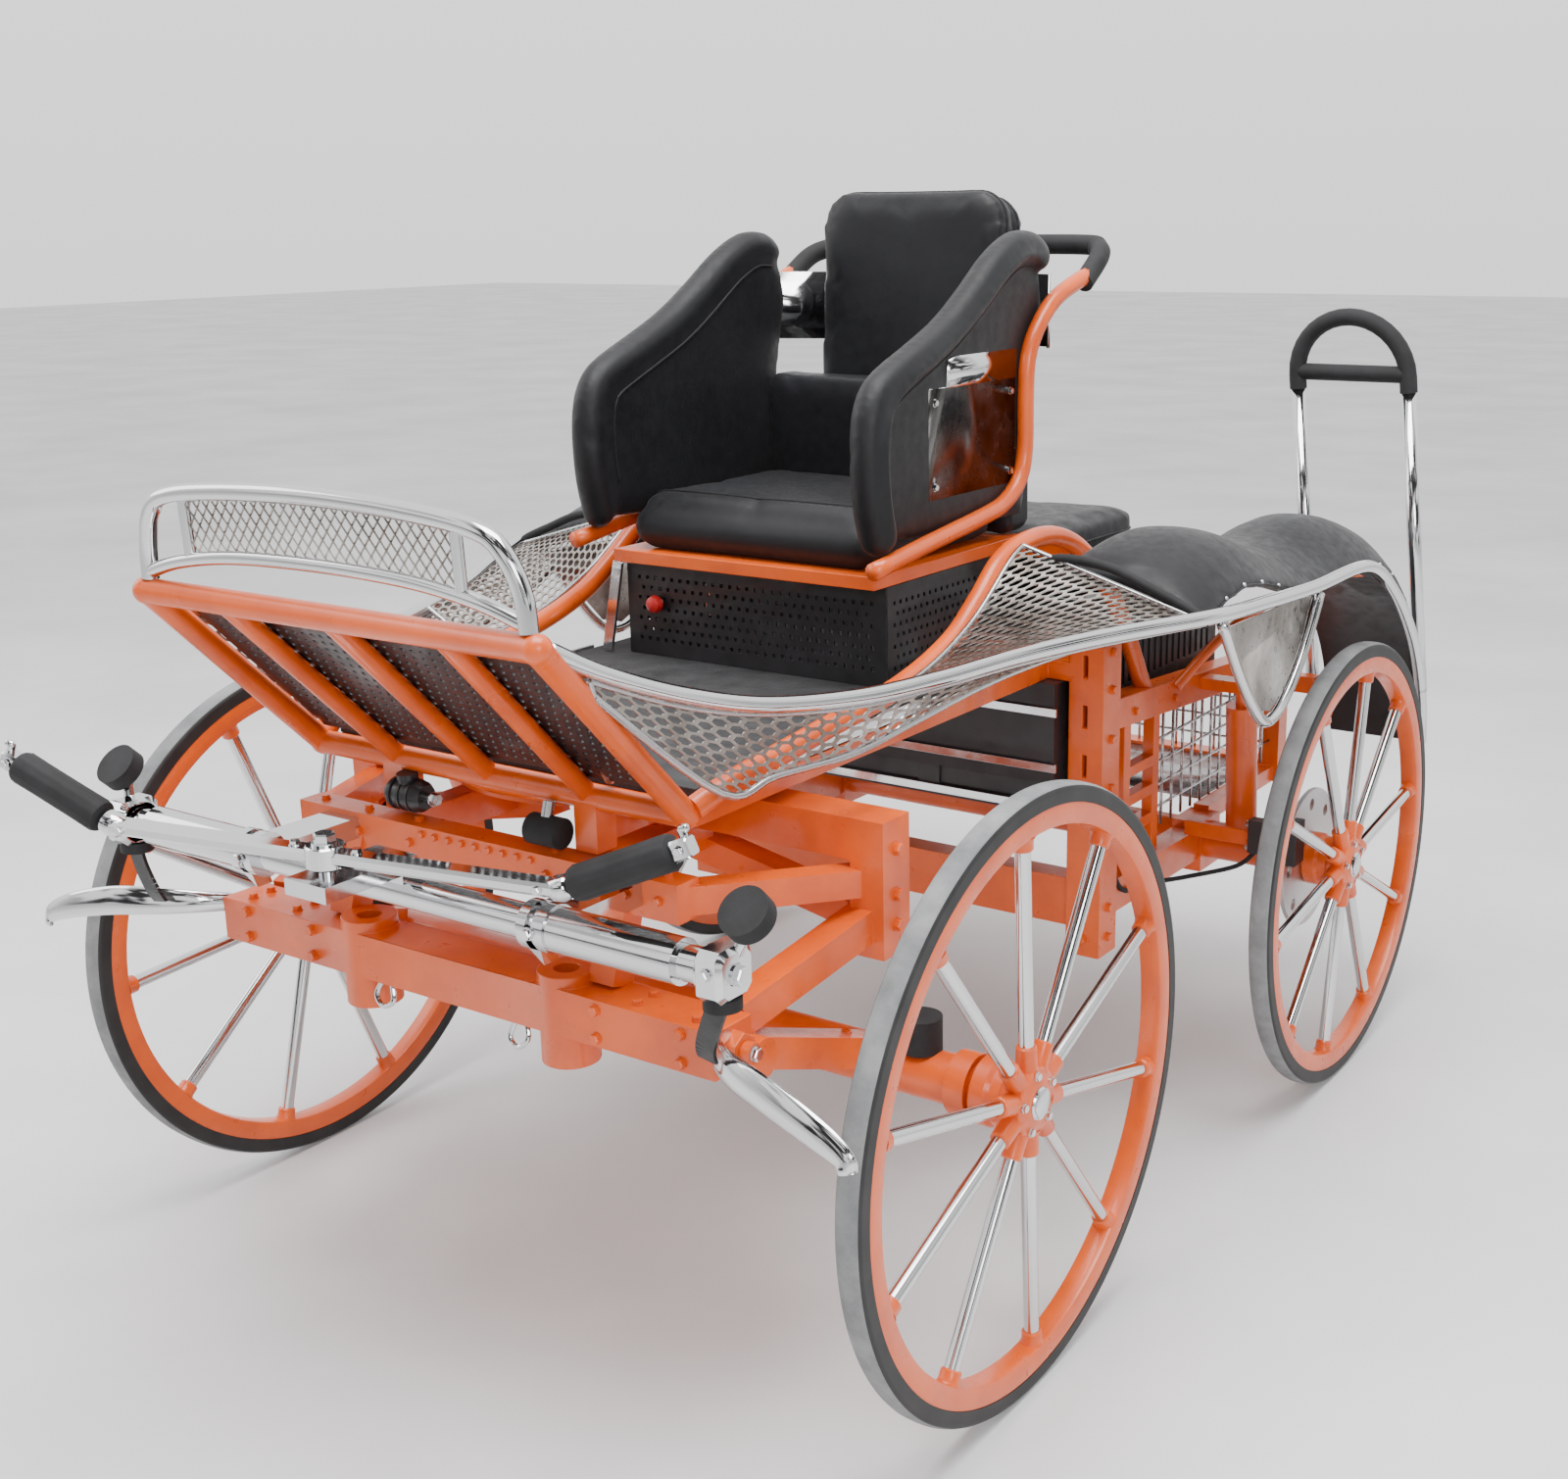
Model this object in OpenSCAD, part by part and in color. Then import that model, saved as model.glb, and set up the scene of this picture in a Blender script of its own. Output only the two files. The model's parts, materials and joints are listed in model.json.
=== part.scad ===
// Single-seat horse drawn carriage on four spoked wheels.
// Units are millimetres. +X is the carriage's left side, -Y its front, +Z up, and z = 0 is the ground.
// The front wheels, their frame and the swingletree turn on one kingpin above the front axle.

/* [Wheels] */
// Distance between the front axle and the rear axle
wheelbase = 1110; // [1060:10:1300]
// Width over the outside faces of the tyres
overall_track = 1344; // [1330:2:1440]
// Diameter of the front wheels over the tyre
front_wheel_d = 800; // [700:10:810]
// Diameter of the rear wheels over the tyre
rear_wheel_d = 760; // [680:10:780]
// Width of every tyre
tyre_w = 34; // [28:1:40]
// Radial thickness of the tyres
tyre_h = 24; // [18:1:30]
// Radial height of the painted rims
rim_h = 28; // [22:1:36]
// Number of spokes in each wheel
spoke_count = 10; // [8:1:14]
// Diameter of each spoke
spoke_d = 20; // [14:1:24]
// Diameter of the hubs
hub_d = 90; // [80:1:110]
// Diameter of the spindle in each hub
spindle_d = 40; // [30:1:46]
// Diameter of the rear brake discs
brake_disc_d = 240; // [200:5:260]

/* [Front undercarriage] */
// Diameter of the axle tubes
axle_tube_d = 66; // [50:1:72]
// Diameter of the kingpin
kingpin_d = 40; // [30:1:50]
// Outside diameter of the turntable
turntable_d = 400; // [340:10:420]
// Half-length of the front cross beam
front_beam_half = 430; // [400:5:450]
// Half-length of the splinter bar
splinter_half = 512; // [470:2:530]
// Diameter of the splinter bar
splinter_d = 42; // [34:1:46]
// Diameter of the bores that take the shafts
shaft_bore_d = 32; // [26:1:36]
// Distance from the centre plane to each shaft bore
shaft_bore_x = 175; // [150:5:200]
// Half-length of the swingletree between its rollers
swingletree_half = 318; // [280:2:340]
// Angle of the parked swingletree from straight across
swingletree_rest = 10.7; // [0:0.1:14]

/* [Body] */
// Half-width of the footboard at its top bar
footboard_half = 324; // [290:2:340]
// Diameter of the painted footboard tubes
footboard_tube_d = 32; // [26:1:36]
// Height of the top face of the floor
floor_z = 800; // [800:1:820]
// Half-width of the floor
floor_half = 312; // [290:2:316]
// Thickness of the floor
floor_t = 18; // [10:1:18]
// Diameter of the chrome side rails
rail_d = 22; // [18:1:26]
// Thickness of the mesh and perforated panels
sheet_t = 3; // [2:0.5:4]
// Size of the square posts behind the driver's feet
post_w = 60; // [50:1:64]
// Height of the top of the grab handles
handle_top = 1286; // [1200:2:1300]

/* [Seat] */
// Width of the seat cushion
seat_w = 460; // [420:5:480]
// Thickness of the seat cushion
cushion_h = 90; // [60:1:95]
// Thickness of the side wings' panels
wing_t = 28; // [20:1:34]
// Thickness of the padded roll along their edges
wing_roll_d = 54; // [44:1:58]
// Thickness of the backrest
back_t = 80; // [60:1:90]

/* [Hidden] */
$fn = 48;

orange = [0.86, 0.30, 0.06];
chrome = [0.80, 0.81, 0.83];
mesh_grey = [0.55, 0.52, 0.49];
black = [0.06, 0.06, 0.07];
rubber = [0.13, 0.13, 0.14];

// Clearances
seat_gap = 0.3;      // between pieces that rest on one another
run_gap = 0.05;      // radial, between a shaft and its bore
move_gap = 6;        // between pieces that pass one another

// Axle stations along Y, about the middle of the wheelbase
front_y = -wheelbase / 2;
rear_y = wheelbase / 2;
front_r = front_wheel_d / 2;
rear_r = rear_wheel_d / 2;
wheel_x = overall_track / 2 - tyre_w / 2;

// A point given from the front axle, and one given from the rear axle
function f(x, y, z) = [x, front_y + y, z];
function r(x, y, z) = [x, rear_y + y, z];
function flip(p) = [-p[0], p[1], p[2]];
function shift(points, v) = [for (p = points) p + v];

// Main heights of the undercarriage
beam_top = floor_z - floor_t - 42;
beam_h = 55;
ring_t = 7;
upper_ring_z = beam_top + ring_t + move_gap;
post_x = 450;
post_foot_z = 560;
front_beam_y = -295;
front_beam_z = 530;
upper_beam_y = -245;
upper_beam_z = 675;
upper_beam_h = 50;
splinter_y = -403;
splinter_z = 679;
pivot_y = -500;
swing_z = 748;
swing_pin_d = 20;

// Footboard corners
top_y = -469;
top_z = 1024;
low_y = -227;
low_z = 775;
low_half = footboard_half - 8;

// Side rail from the footboard corner over the wheels to the tail
rail_front = [f(324, -452, 1019), f(335, -375, 978), f(350, -260, 932), f(380, -145, 900),
    f(420, -5, 885), f(460, 115, 888), f(505, 240, 898)];
rail_rear = [r(570, -745, 908), r(650, -580, 913), r(655, -408, 903), r(655, -209, 893),
    r(652, 45, 885), r(650, 195, 815), r(650, 315, 705), r(650, 378, 590), r(650, 395, 500)];
rail_path = curve(concat(rail_front, rail_rear), 3);

// Distance by which the whole carriage is moved along Y, so that the middle of its length is y = 0
swing_reach = swingletree_half + 165;
hook_reach = 17;
nose_y = front_y + pivot_y - swing_reach * sin(swingletree_rest) - hook_reach;
tail_y = rear_y + 395 + rail_d / 2;
origin_y = -(nose_y + tail_y) / 2;

// ---------------------------------------------------------------- curves and bars

function spline(a, b, c, d, t) =
    0.5 * (2 * b + (c - a) * t + (2 * a - 5 * b + 4 * c - d) * t * t
        + (3 * b - a - 3 * c + d) * t * t * t);

// Smooth curve through the points, with n steps between each two
function curve(p, n = 4) = [for (i = [0:len(p) - 2]) for (j = [0:n - 1])
    spline(p[max(i - 1, 0)], p[i], p[i + 1], p[min(i + 2, len(p) - 1)], j / n), p[len(p) - 1]];

function unit(v) = v / norm(v);
function tangent(p, i) = unit(p[min(i + 1, len(p) - 1)] - p[max(i - 1, 0)]);

// Closed skin over a list of rings of equal length, each ring turning to the right about the way on
module skin(rings) {
    s = len(rings[0]);
    m = len(rings);
    points = [for (ring = rings) for (p = ring) p];
    sides = [for (i = [0:m - 2]) for (j = [0:s - 1]) let (k = (j + 1) % s)
        each [[i * s + j, (i + 1) * s + j, (i + 1) * s + k], [i * s + j, (i + 1) * s + k, i * s + k]]];
    first = [[for (j = [0:s - 1]) j]];
    last = [[for (j = [s - 1:-1:0]) (m - 1) * s + j]];
    polyhedron(points, concat(sides, first, last), convexity = 6);
}

// Tube of diameter d through the points; aside is never along the path
module tube(path, d, aside = [1, 0, 0], sides = 10) {
    skin([for (i = [0:len(path) - 1])
        let (t = tangent(path, i), a = unit(cross(aside, t)), b = cross(t, a))
        [for (j = [0:sides - 1]) path[i] + d / 2 * (cos(360 * j / sides) * a + sin(360 * j / sides) * b)]]);
}

// Flat strip through the points, w across and t thick; across is the direction of its width
module strip(path, w, t, across = [1, 0, 0]) {
    skin([for (i = [0:len(path) - 1])
        let (n = unit(cross(across, tangent(path, i))), a = across * w / 2, b = n * t / 2)
        [path[i] - a - b, path[i] - a + b, path[i] + a + b, path[i] + a - b]]);
}

// Thin sheet between two edges with as many points each, t thick
module sheet(edge_a, edge_b, t) {
    skin([for (i = [0:len(edge_a) - 1])
        let (n = unit(cross(tangent(edge_a, i), edge_b[i] - edge_a[i])) * t / 2)
        [edge_a[i] - n, edge_a[i] + n, edge_b[i] + n, edge_b[i] - n]]);
}

// Places its child, drawn up the Z axis from 0, along the line from a to b
module along(a, b) {
    v = b - a;
    translate(a) rotate([0, acos(v[2] / norm(v)), atan2(v[1], v[0])]) children();
}

module rod(a, b, d) {
    along(a, b) cylinder(d = d, h = norm(b - a));
}

// Rectangular bar from a to b, w wide across and h deep
module bar(a, b, w, h) {
    along(a, b) translate([-h / 2, -w / 2, 0]) cube([h, w, norm(b - a)]);
}

module box(low, high) {
    translate(low) cube(high - low);
}

module both_sides() {
    children();
    mirror([1, 0, 0]) children();
}

module on_side(side) {
    if (side > 0) children();
    else mirror([1, 0, 0]) children();
}

module placed() {
    translate([0, origin_y, 0]) children();
}

// ---------------------------------------------------------------- wheels

hub_in = 62;         // hub inboard of the wheel's middle plane
hub_out = 14;        // hub outboard of it
cap_d = 40;
cap_h = 8;
bore_end = 4;        // hub metal left beyond the spindle's end
socket_d = 27;
socket_l = 26;

module wheel_metal(wheel_r) {
    rim_out = wheel_r - tyre_h - seat_gap;
    rim_in = rim_out - rim_h;
    rim_w = tyre_w - 2;
    color(orange) difference() {
        rotate_extrude($fn = 96) polygon([[rim_in, 4 - rim_w / 2], [rim_in + 4, -rim_w / 2],
            [rim_out, -rim_w / 2], [rim_out, rim_w / 2], [rim_in + 4, rim_w / 2], [rim_in, rim_w / 2 - 4]]);
        for (i = [0:spoke_count - 1]) rotate([0, 90, i * 360 / spoke_count])
            translate([0, 0, rim_in - 10]) cylinder(d = spoke_d, h = 18);
    }
    color(orange) for (i = [0:spoke_count - 1]) rotate([0, 90, i * 360 / spoke_count])
        translate([0, 0, rim_in - socket_l + 8]) difference() {
            cylinder(d = socket_d, h = socket_l - 7);
            translate([0, 0, -1]) cylinder(d = spoke_d, h = socket_l);
        }
    color(chrome) for (i = [0:spoke_count - 1]) rotate([0, 90, i * 360 / spoke_count])
        translate([0, 0, hub_d / 2 - 8]) cylinder(d = spoke_d, h = rim_in - hub_d / 2 + 12);
    color(orange) difference() {
        union() {
            translate([0, 0, -hub_in]) cylinder(d = hub_d, h = hub_in + hub_out);
            translate([0, 0, hub_out - 1]) cylinder(d1 = hub_d - 4, d2 = hub_d - 28, h = 5);
            for (i = [0:spoke_count - 1]) rotate([0, 90, i * 360 / spoke_count])
                cylinder(d = socket_d, h = hub_d / 2 + 30);
        }
        translate([0, 0, -hub_in - 1]) cylinder(d = spindle_d + 2 * run_gap, h = hub_in + 1 + hub_out - bore_end);
    }
    color(chrome) translate([0, 0, hub_out + 2]) cylinder(d = cap_d, h = cap_h, $fn = 6);
}

module tyre_ring(wheel_r) {
    inner = wheel_r - tyre_h;
    crown = 6;
    color(rubber) rotate_extrude($fn = 96) polygon([[inner, -tyre_w / 2], [wheel_r - crown, -tyre_w / 2],
        [wheel_r - 1.5, 3 - tyre_w / 2], [wheel_r, 8 - tyre_w / 2], [wheel_r, tyre_w / 2 - 8],
        [wheel_r - 1.5, tyre_w / 2 - 3], [wheel_r - crown, tyre_w / 2], [inner, tyre_w / 2]]);
}

// Angle at which each wheel happens to stand, up from the first spoke pointing back
phase_front_left = 21;
phase_front_right = 3;
phase_rear = 8;

// Stands a wheel, drawn about Z with its outboard face up, at its hub
module at_hub(side, axle_y, wheel_r, phase) {
    placed() on_side(side) translate([wheel_x, axle_y, wheel_r]) rotate([0, 90, 0]) rotate([0, 0, 90 + phase])
        children();
}

module wheel_front_left() at_hub(1, front_y, front_r, phase_front_left) wheel_metal(front_r);
module wheel_front_right() at_hub(-1, front_y, front_r, phase_front_right) wheel_metal(front_r);
module wheel_rear_left() at_hub(1, rear_y, rear_r, phase_rear) wheel_metal(rear_r);
module wheel_rear_right() at_hub(-1, rear_y, rear_r, phase_rear) wheel_metal(rear_r);
module tyre_front_left() at_hub(1, front_y, front_r, phase_front_left) tyre_ring(front_r);
module tyre_front_right() at_hub(-1, front_y, front_r, phase_front_right) tyre_ring(front_r);
module tyre_rear_left() at_hub(1, rear_y, rear_r, phase_rear) tyre_ring(rear_r);
module tyre_rear_right() at_hub(-1, rear_y, rear_r, phase_rear) tyre_ring(rear_r);

// Brake disc on the inboard end of a rear hub
disc_t = 8;
module brake_disc() {
    color(chrome) translate([0, 0, -hub_in - disc_t - seat_gap]) difference() {
        cylinder(d = brake_disc_d, h = disc_t, $fn = 72);
        translate([0, 0, -1]) cylinder(d = spindle_d + 12, h = disc_t + 2);
        for (i = [0:7]) rotate([0, 0, i * 45]) translate([brake_disc_d / 2 - 26, 0, -1])
            cylinder(d = 20, h = disc_t + 2);
    }
}
module brake_disc_left() at_hub(1, rear_y, rear_r, 0) brake_disc();
module brake_disc_right() at_hub(-1, rear_y, rear_r, 0) brake_disc();

// Axle tube with a spindle at each end
spindle_tip = wheel_x + hub_out - bore_end - 3;
module axle_beam(shoulder_x) {
    rod([-shoulder_x, 0, 0], [shoulder_x, 0, 0], axle_tube_d);
    both_sides() {
        rod([shoulder_x - 30, 0, 0], [shoulder_x - 1, 0, 0], hub_d - 6);
        rod([shoulder_x - 10, 0, 0], [spindle_tip, 0, 0], spindle_d);
    }
}

// ---------------------------------------------------------------- front undercarriage

shoulder_front = wheel_x - hub_in - move_gap;
module front_axle() placed() color(orange) {
    translate(f(0, 0, front_r)) axle_beam(shoulder_front);
    // Trailing arms from the front beam to the axle
    both_sides() bar(f(400, front_beam_y + 36.5, 508), f(440, -20, front_r + 24), 44, 40);
    both_sides() rod(f(360, front_beam_y + 46, 500), f(440, front_beam_y + 46, 500), 52);
}

module front_beam() placed() color(orange) difference() {
    union() {
        box(f(-front_beam_half, front_beam_y - 35, front_beam_z - 30),
            f(front_beam_half, front_beam_y + 35, front_beam_z + 30));
        both_sides() translate(f(shaft_bore_x, front_beam_y, 455)) cylinder(d = 74, h = 120);
        both_sides() translate(f(front_beam_half - 1, front_beam_y, front_beam_z))
            rotate([0, 90, 0]) cylinder(d = 46, h = 18, $fn = 6);
    }
    both_sides() translate(f(shaft_bore_x, front_beam_y, 454)) cylinder(d = shaft_bore_d, h = 122);
}

module fore_frame() placed() color(orange) difference() {
    union() {
        box(f(-post_x, -45, beam_top - beam_h), f(post_x, 15, beam_top));
        translate(f(0, 0, beam_top - beam_h - 45)) cylinder(d = 110, h = beam_h + 45);
        both_sides() box(f(post_x - 25, -45, post_foot_z), f(post_x + 25, 15, beam_top));
        // Braces from the post feet to the ends of the front beam
        both_sides() bar(f(440, -30, post_foot_z + 45), f(395, front_beam_y + 48, front_beam_z + 14), 42, 42);
        both_sides() bar(f(90, -15, beam_top - 70), f(post_x - 5, -15, post_foot_z + 40), 40, 36);
        // Fore-and-aft rails to the upper beam
        both_sides() box(f(150, upper_beam_y - 20, upper_beam_z - 20), f(190, -20, upper_beam_z + 25));
        box(f(-330, upper_beam_y - 20, upper_beam_z - upper_beam_h / 2),
            f(330, upper_beam_y + 20, upper_beam_z + upper_beam_h / 2));
        both_sides() bar(f(230, front_beam_y + 16, front_beam_z + 30.3), f(230, upper_beam_y, upper_beam_z), 40, 36);
        both_sides() bar(f(310, upper_beam_y, upper_beam_z), f(430, -30, upper_beam_z - 20), 36, 36);
    }
    translate(f(0, 0, beam_top - beam_h - 46)) cylinder(d = kingpin_d + 2 * run_gap, h = beam_h + 48);
}

module turntable_lower() placed() color(orange) translate(f(0, -15, beam_top + seat_gap)) difference() {
    cylinder(d = turntable_d, h = ring_t - seat_gap, $fn = 72);
    translate([0, 15, -1]) cylinder(d = kingpin_d + 2, h = ring_t + 2);
}

module splinter_bar() placed() {
    color(chrome) {
        rod(f(-splinter_half, splinter_y, splinter_z), f(splinter_half, splinter_y, splinter_z), splinter_d);
        both_sides() {
            // Clamp plates back to the upper beam, and the end fittings
            box(f(215, splinter_y + 6, splinter_z - 14), f(275, upper_beam_y - 20 - seat_gap, splinter_z + 14));
            rod(f(250, splinter_y, splinter_z), f(splinter_half - 60, splinter_y, splinter_z), splinter_d + 12);
            rod(f(splinter_half - 26, splinter_y, splinter_z), f(splinter_half + 8, splinter_y, splinter_z),
                splinter_d + 14);
            rod(f(splinter_half, splinter_y + 4, splinter_z + 6), f(533, -386, 738), 14);
        }
        // Bracket and pin of the swingletree
        box(f(-35, pivot_y - 35, 704), f(35, splinter_y + 10, 724));
        box(f(-35, splinter_y - 16, splinter_z), f(35, splinter_y + 10, 724));
        translate(f(0, pivot_y, 715)) cylinder(d = swing_pin_d, h = 58);
    }
}

// Rubber pucks over the bar's ends, pads below them, and bump stops on the axle
module rubber_stops() placed() color(rubber) {
    both_sides() {
        along(f(533, -386 - 0.3, 738.4), f(533, -402, 754)) cylinder(d = 60, h = 22);
        translate(f(splinter_half - 9, splinter_y, splinter_z - splinter_d / 2 - 7 - seat_gap - 14)) cylinder(d = 44, h = 14);
        translate(f(500, 0, front_r + axle_tube_d / 2 - 2)) cylinder(d = 56, h = 46);
    }
}

guard_path = [f(424, -300, 545), f(450, -352, 556), f(500, -392, 560), f(560, -414, 556),
    f(630, -428, 540), f(684, -433, 517)];
module wheel_guards() placed() color(chrome) both_sides() {
    strip(curve(guard_path, 4), 34, 7, across = unit([0.12, 0.25, 1]));
}

// ---------------------------------------------------------------- swingletree

module at_pivot() {
    placed() translate(f(0, pivot_y, swing_z)) rotate([0, 0, swingletree_rest]) children();
}

roller_l = 158;
roller_tilt = 23;
function roller_at(s) = [swingletree_half + s * cos(roller_tilt), 0, s * sin(roller_tilt)];
module swingletree_bar() at_pivot() color(chrome) difference() {
    union() {
        rod([-swingletree_half, 0, 0], [swingletree_half, 0, 0], 26);
        translate([0, 0, -17]) cylinder(d = 52, h = 34);
        both_sides() {
            rod([swingletree_half - 14, 0, 0], [swingletree_half + 12, 0, 0], 38);
            rod(roller_at(0), roller_at(roller_l + 12), 14);
            rod(roller_at(roller_l + 4), roller_at(roller_l + 8) + [8, 0, 26], 12);
        }
    }
    translate([0, 0, -18]) cylinder(d = swing_pin_d + 2 * run_gap, h = 36);
}

module swingletree_rollers() at_pivot() color(rubber) both_sides() difference() {
    rod(roller_at(20), roller_at(roller_l - 4), 42);
    rod(roller_at(0), roller_at(roller_l + 20), 14 + 2 * seat_gap);
}

// ---------------------------------------------------------------- chassis and floor

under_floor = floor_z - floor_t;
module chassis_frame() placed() color(orange) {
    rail_z = under_floor - 30;
    // Rails and cross members under the floor
    both_sides() box(f(282, low_y + 24, rail_z), r(312, -375, under_floor - seat_gap));
    for (y = [-120, 70]) box(f(-300, y - 30, upper_ring_z + ring_t + seat_gap), f(300, y + 30, under_floor - seat_gap));
    // Square posts and their lower cross member
    both_sides() difference() {
        box(r(350, -435, 300), r(350 + post_w, -375, 812));
        for (z = [600, 680, 760]) box(r(374, -436, z), r(382, -374, z + 36));
    }
    both_sides() box(r(300, -435, rail_z), r(352, -375, under_floor - seat_gap));
    box(r(-352, -428, 345), r(352, -382, 425));
    // Rear beams, falling slightly to the tail
    both_sides() bar(r(380, -376, 690), r(380, 340, 640), 40, 50);
    // Ladder brackets ahead of the axle
    both_sides() {
        for (y = [-300, -190]) box(r(362, y, 400), r(382, y + 24, 668));
        for (z = [460, 510, 560]) box(r(362, -280, z), r(382, -180, z + 18));
    }
    // Suspension arms to the rear axle
    both_sides() bar(r(380, -376, 385), r(380, -axle_tube_d / 2 + 4, rear_r), 44, 56);
}

module turntable_upper() placed() color(chrome) {
    translate(f(0, 0, upper_ring_z)) cylinder(d = turntable_d - 60, h = ring_t, $fn = 72);
    translate(f(0, 0, beam_top - beam_h - 60)) cylinder(d = kingpin_d, h = 60 + beam_h + ring_t + move_gap + 2);
    translate(f(0, 0, beam_top - beam_h - 45 - 3 - 22)) cylinder(d = 62, h = 22, $fn = 6);
}

module footboard_frame() placed() color(orange) {
    d = footboard_tube_d;
    rod(f(-footboard_half, top_y, top_z), f(footboard_half, top_y, top_z), d);
    rod(f(-low_half, low_y, low_z), f(low_half, low_y, low_z), d);
    both_sides() {
        rod(f(footboard_half, top_y, top_z), f(low_half, low_y, low_z), d);
        translate(f(footboard_half, top_y, top_z)) sphere(d = d + 3);
        translate(f(low_half, low_y, low_z)) sphere(d = d + 3);
    }
    for (x = [-165, 0, 165]) rod(f(x * 1.1, top_y, top_z), f(x, low_y, low_z), d - 6);
    // Struts that stand over the undercarriage
    both_sides() box(f(150, low_y - 14, upper_beam_z + upper_beam_h / 2 + move_gap), f(186, low_y + 22, low_z));
}

// Perforated plates behind the footboard bars
module footboard_panels() placed() color(black) {
    slope = unit([0, top_y - low_y, top_z - low_z]);
    out = [0, slope[2], -slope[1]];
    lift = out * (footboard_tube_d / 2 - 3 + sheet_t / 2 + seat_gap);
    a = f(0, low_y, low_z) + lift + slope * 24;
    b = f(0, top_y, top_z) + lift - slope * 24;
    bar(a, b, 2 * low_half - 24, sheet_t);
}

dash_half = footboard_half - 10;
dash_top = [f(dash_half, top_y, top_z + footboard_tube_d / 2 + 0.6), f(dash_half - 4, top_y - 1, top_z + 56),
    f(dash_half - 22, top_y - 6, top_z + 98), f(dash_half - 58, top_y - 9, top_z + 122),
    f(dash_half - 160, top_y - 10, top_z + 134), f(0, top_y - 10, top_z + 139)];
dash_low = [f(dash_half - 6, top_y - 1, top_z + 26), f(dash_half - 70, top_y - 4, top_z + 44),
    f(dash_half - 170, top_y - 5, top_z + 57), f(0, top_y - 5, top_z + 61)];
function mirrored(p) = concat(p, [for (i = [len(p) - 2:-1:0]) flip(p[i])]);
module dash_rail() placed() color(chrome) {
    tube(curve(mirrored(dash_top), 4), rail_d, [0, 1, 0]);
    tube(curve(mirrored(dash_low), 3), rail_d - 4, [0, 1, 0]);
    both_sides() rod(f(225, top_y - 5, top_z + 50), f(225, top_y - 9, top_z + 128), 14);
}

module dash_mesh() placed() color(mesh_grey) {
    half = dash_half - 100;
    top = curve([f(-half, top_y - 9, top_z + 117), f(0, top_y - 10, top_z + 127), f(half, top_y - 9, top_z + 117)], 5);
    low = curve([f(-half, top_y - 5, top_z + 61), f(0, top_y - 5, top_z + 71), f(half, top_y - 5, top_z + 61)], 5);
    sheet(top, low, 2);
}

module floor_board() placed() color(black)
    box(f(-floor_half, low_y + 26, under_floor), r(floor_half, -465, floor_z));

// ---------------------------------------------------------------- side rails and mesh

module side_rail(side) placed() color(chrome) on_side(side) tube(rail_path, rail_d, [0, 0, 1]);
module side_rail_left() side_rail(1);
module side_rail_right() side_rail(-1);

// Mesh from the rail down to the body, with a lower edge beside the floor
panel_top = curve([f(332, -400, 976), f(346, -262, 919), f(376, -145, 888), f(415, -5, 872),
    f(455, 115, 875), f(500, 240, 885), r(562, -745, 895), r(636, -590, 901)], 3);
panel_low = curve([f(334, -396, 958), f(360, -215, 806), f(378, -130, 808), f(405, -5, 810),
    f(424, 115, 828), f(448, 240, 850), r(484, -745, 868), r(560, -590, 893)], 3);
// Second sheet, from the inside of the rail up to the painted tube beside the seat
shoulder_out = curve([f(446, 100, 889), f(492, 240, 899), r(557, -745, 909), r(614, -640, 912),
    r(634, -604, 913)], 3);
shoulder_in = curve([f(361, 100, 842), f(361, 240, 862), r(361, -745, 909), r(359, -640, 975),
    r(360, -604, 992)], 3);
module side_panel(side) placed() color(mesh_grey) on_side(side) {
    sheet(panel_top, panel_low, sheet_t);
    sheet(shoulder_out, shoulder_in, sheet_t);
}
module side_panel_left() side_panel(1);
module side_panel_right() side_panel(-1);

// S-shaped painted tube from the footboard up to the seat
tube_path = curve([f(low_half + 8, low_y + 4, low_z + 8), f(338, -160, 804), f(342, 15, 825),
    f(344, 195, 845), f(344, 325, 880),
    f(342, 405, 925), f(340, 475, 972), r(340, -560, 990), r(342, -470, 985), r(348, -385, 945),
    r(362, -300, 850), r(380, -230, 698)], 3);
module body_tube(side) placed() color(orange) on_side(side) tube(tube_path, 30, [1, 0, 0]);
module body_tube_left() body_tube(1);
module body_tube_right() body_tube(-1);

// Chrome tube in a V ahead of the rear wheel, with its grey plate
brace_path = curve([r(650, -548, 899), r(650, -477, 806), r(650, -400, 728), r(648, -345, 712),
    r(648, -290, 735), r(650, -225, 800), r(652, -175, 878)], 4);
module side_brace(side) placed() on_side(side) {
    color(chrome) tube(brace_path, 18, [1, 0, 0]);
    color(mesh_grey) translate([644, rear_y, 0]) rotate([90, 0, 90]) linear_extrude(2)
        polygon([[-535, 886], [-190, 880], [-228, 812], [-290, 747], [-345, 724], [-398, 738], [-470, 812]]);
}
module side_brace_left() side_brace(1);
module side_brace_right() side_brace(-1);

// ---------------------------------------------------------------- seat

seat_front = -800;
seat_rear = -425;
seat_low = 968;
base_top = 948;
base_front = seat_front - 15;
base_half = seat_w / 2 + 10;
base_bar_w = 28;
riser_y = base_front + 30;
module seat_riser() placed() color(black) {
    box(r(-base_half, riser_y, floor_z + seat_gap), r(base_half, riser_y + sheet_t, base_top));
    both_sides() box(r(base_half - sheet_t, riser_y, floor_z + seat_gap), r(base_half, -470, base_top));
}

// Painted frame under the cushion, with a plate between its bars
module seat_base() placed() color(orange) {
    inner = base_half - base_bar_w;
    box(r(-base_half, base_front, base_top + seat_gap), r(base_half, base_front + 35, seat_low));
    box(r(-325, seat_rear + 5, base_top - 8), r(325, seat_rear + 35, seat_low));
    both_sides() box(r(inner, base_front, base_top + seat_gap), r(base_half, seat_rear + 30, seat_low));
    color(black) box(r(-inner - 1, base_front + 34, base_top + 8), r(inner + 1, seat_rear + 6, seat_low));
}

cushion_top = seat_low + cushion_h;
module seat_cushion() placed() color(black)
    translate(r(-seat_w / 2, seat_front, seat_low + seat_gap))
        rounded_slab([seat_w, seat_rear - seat_front, cushion_h - seat_gap], 24);

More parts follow.
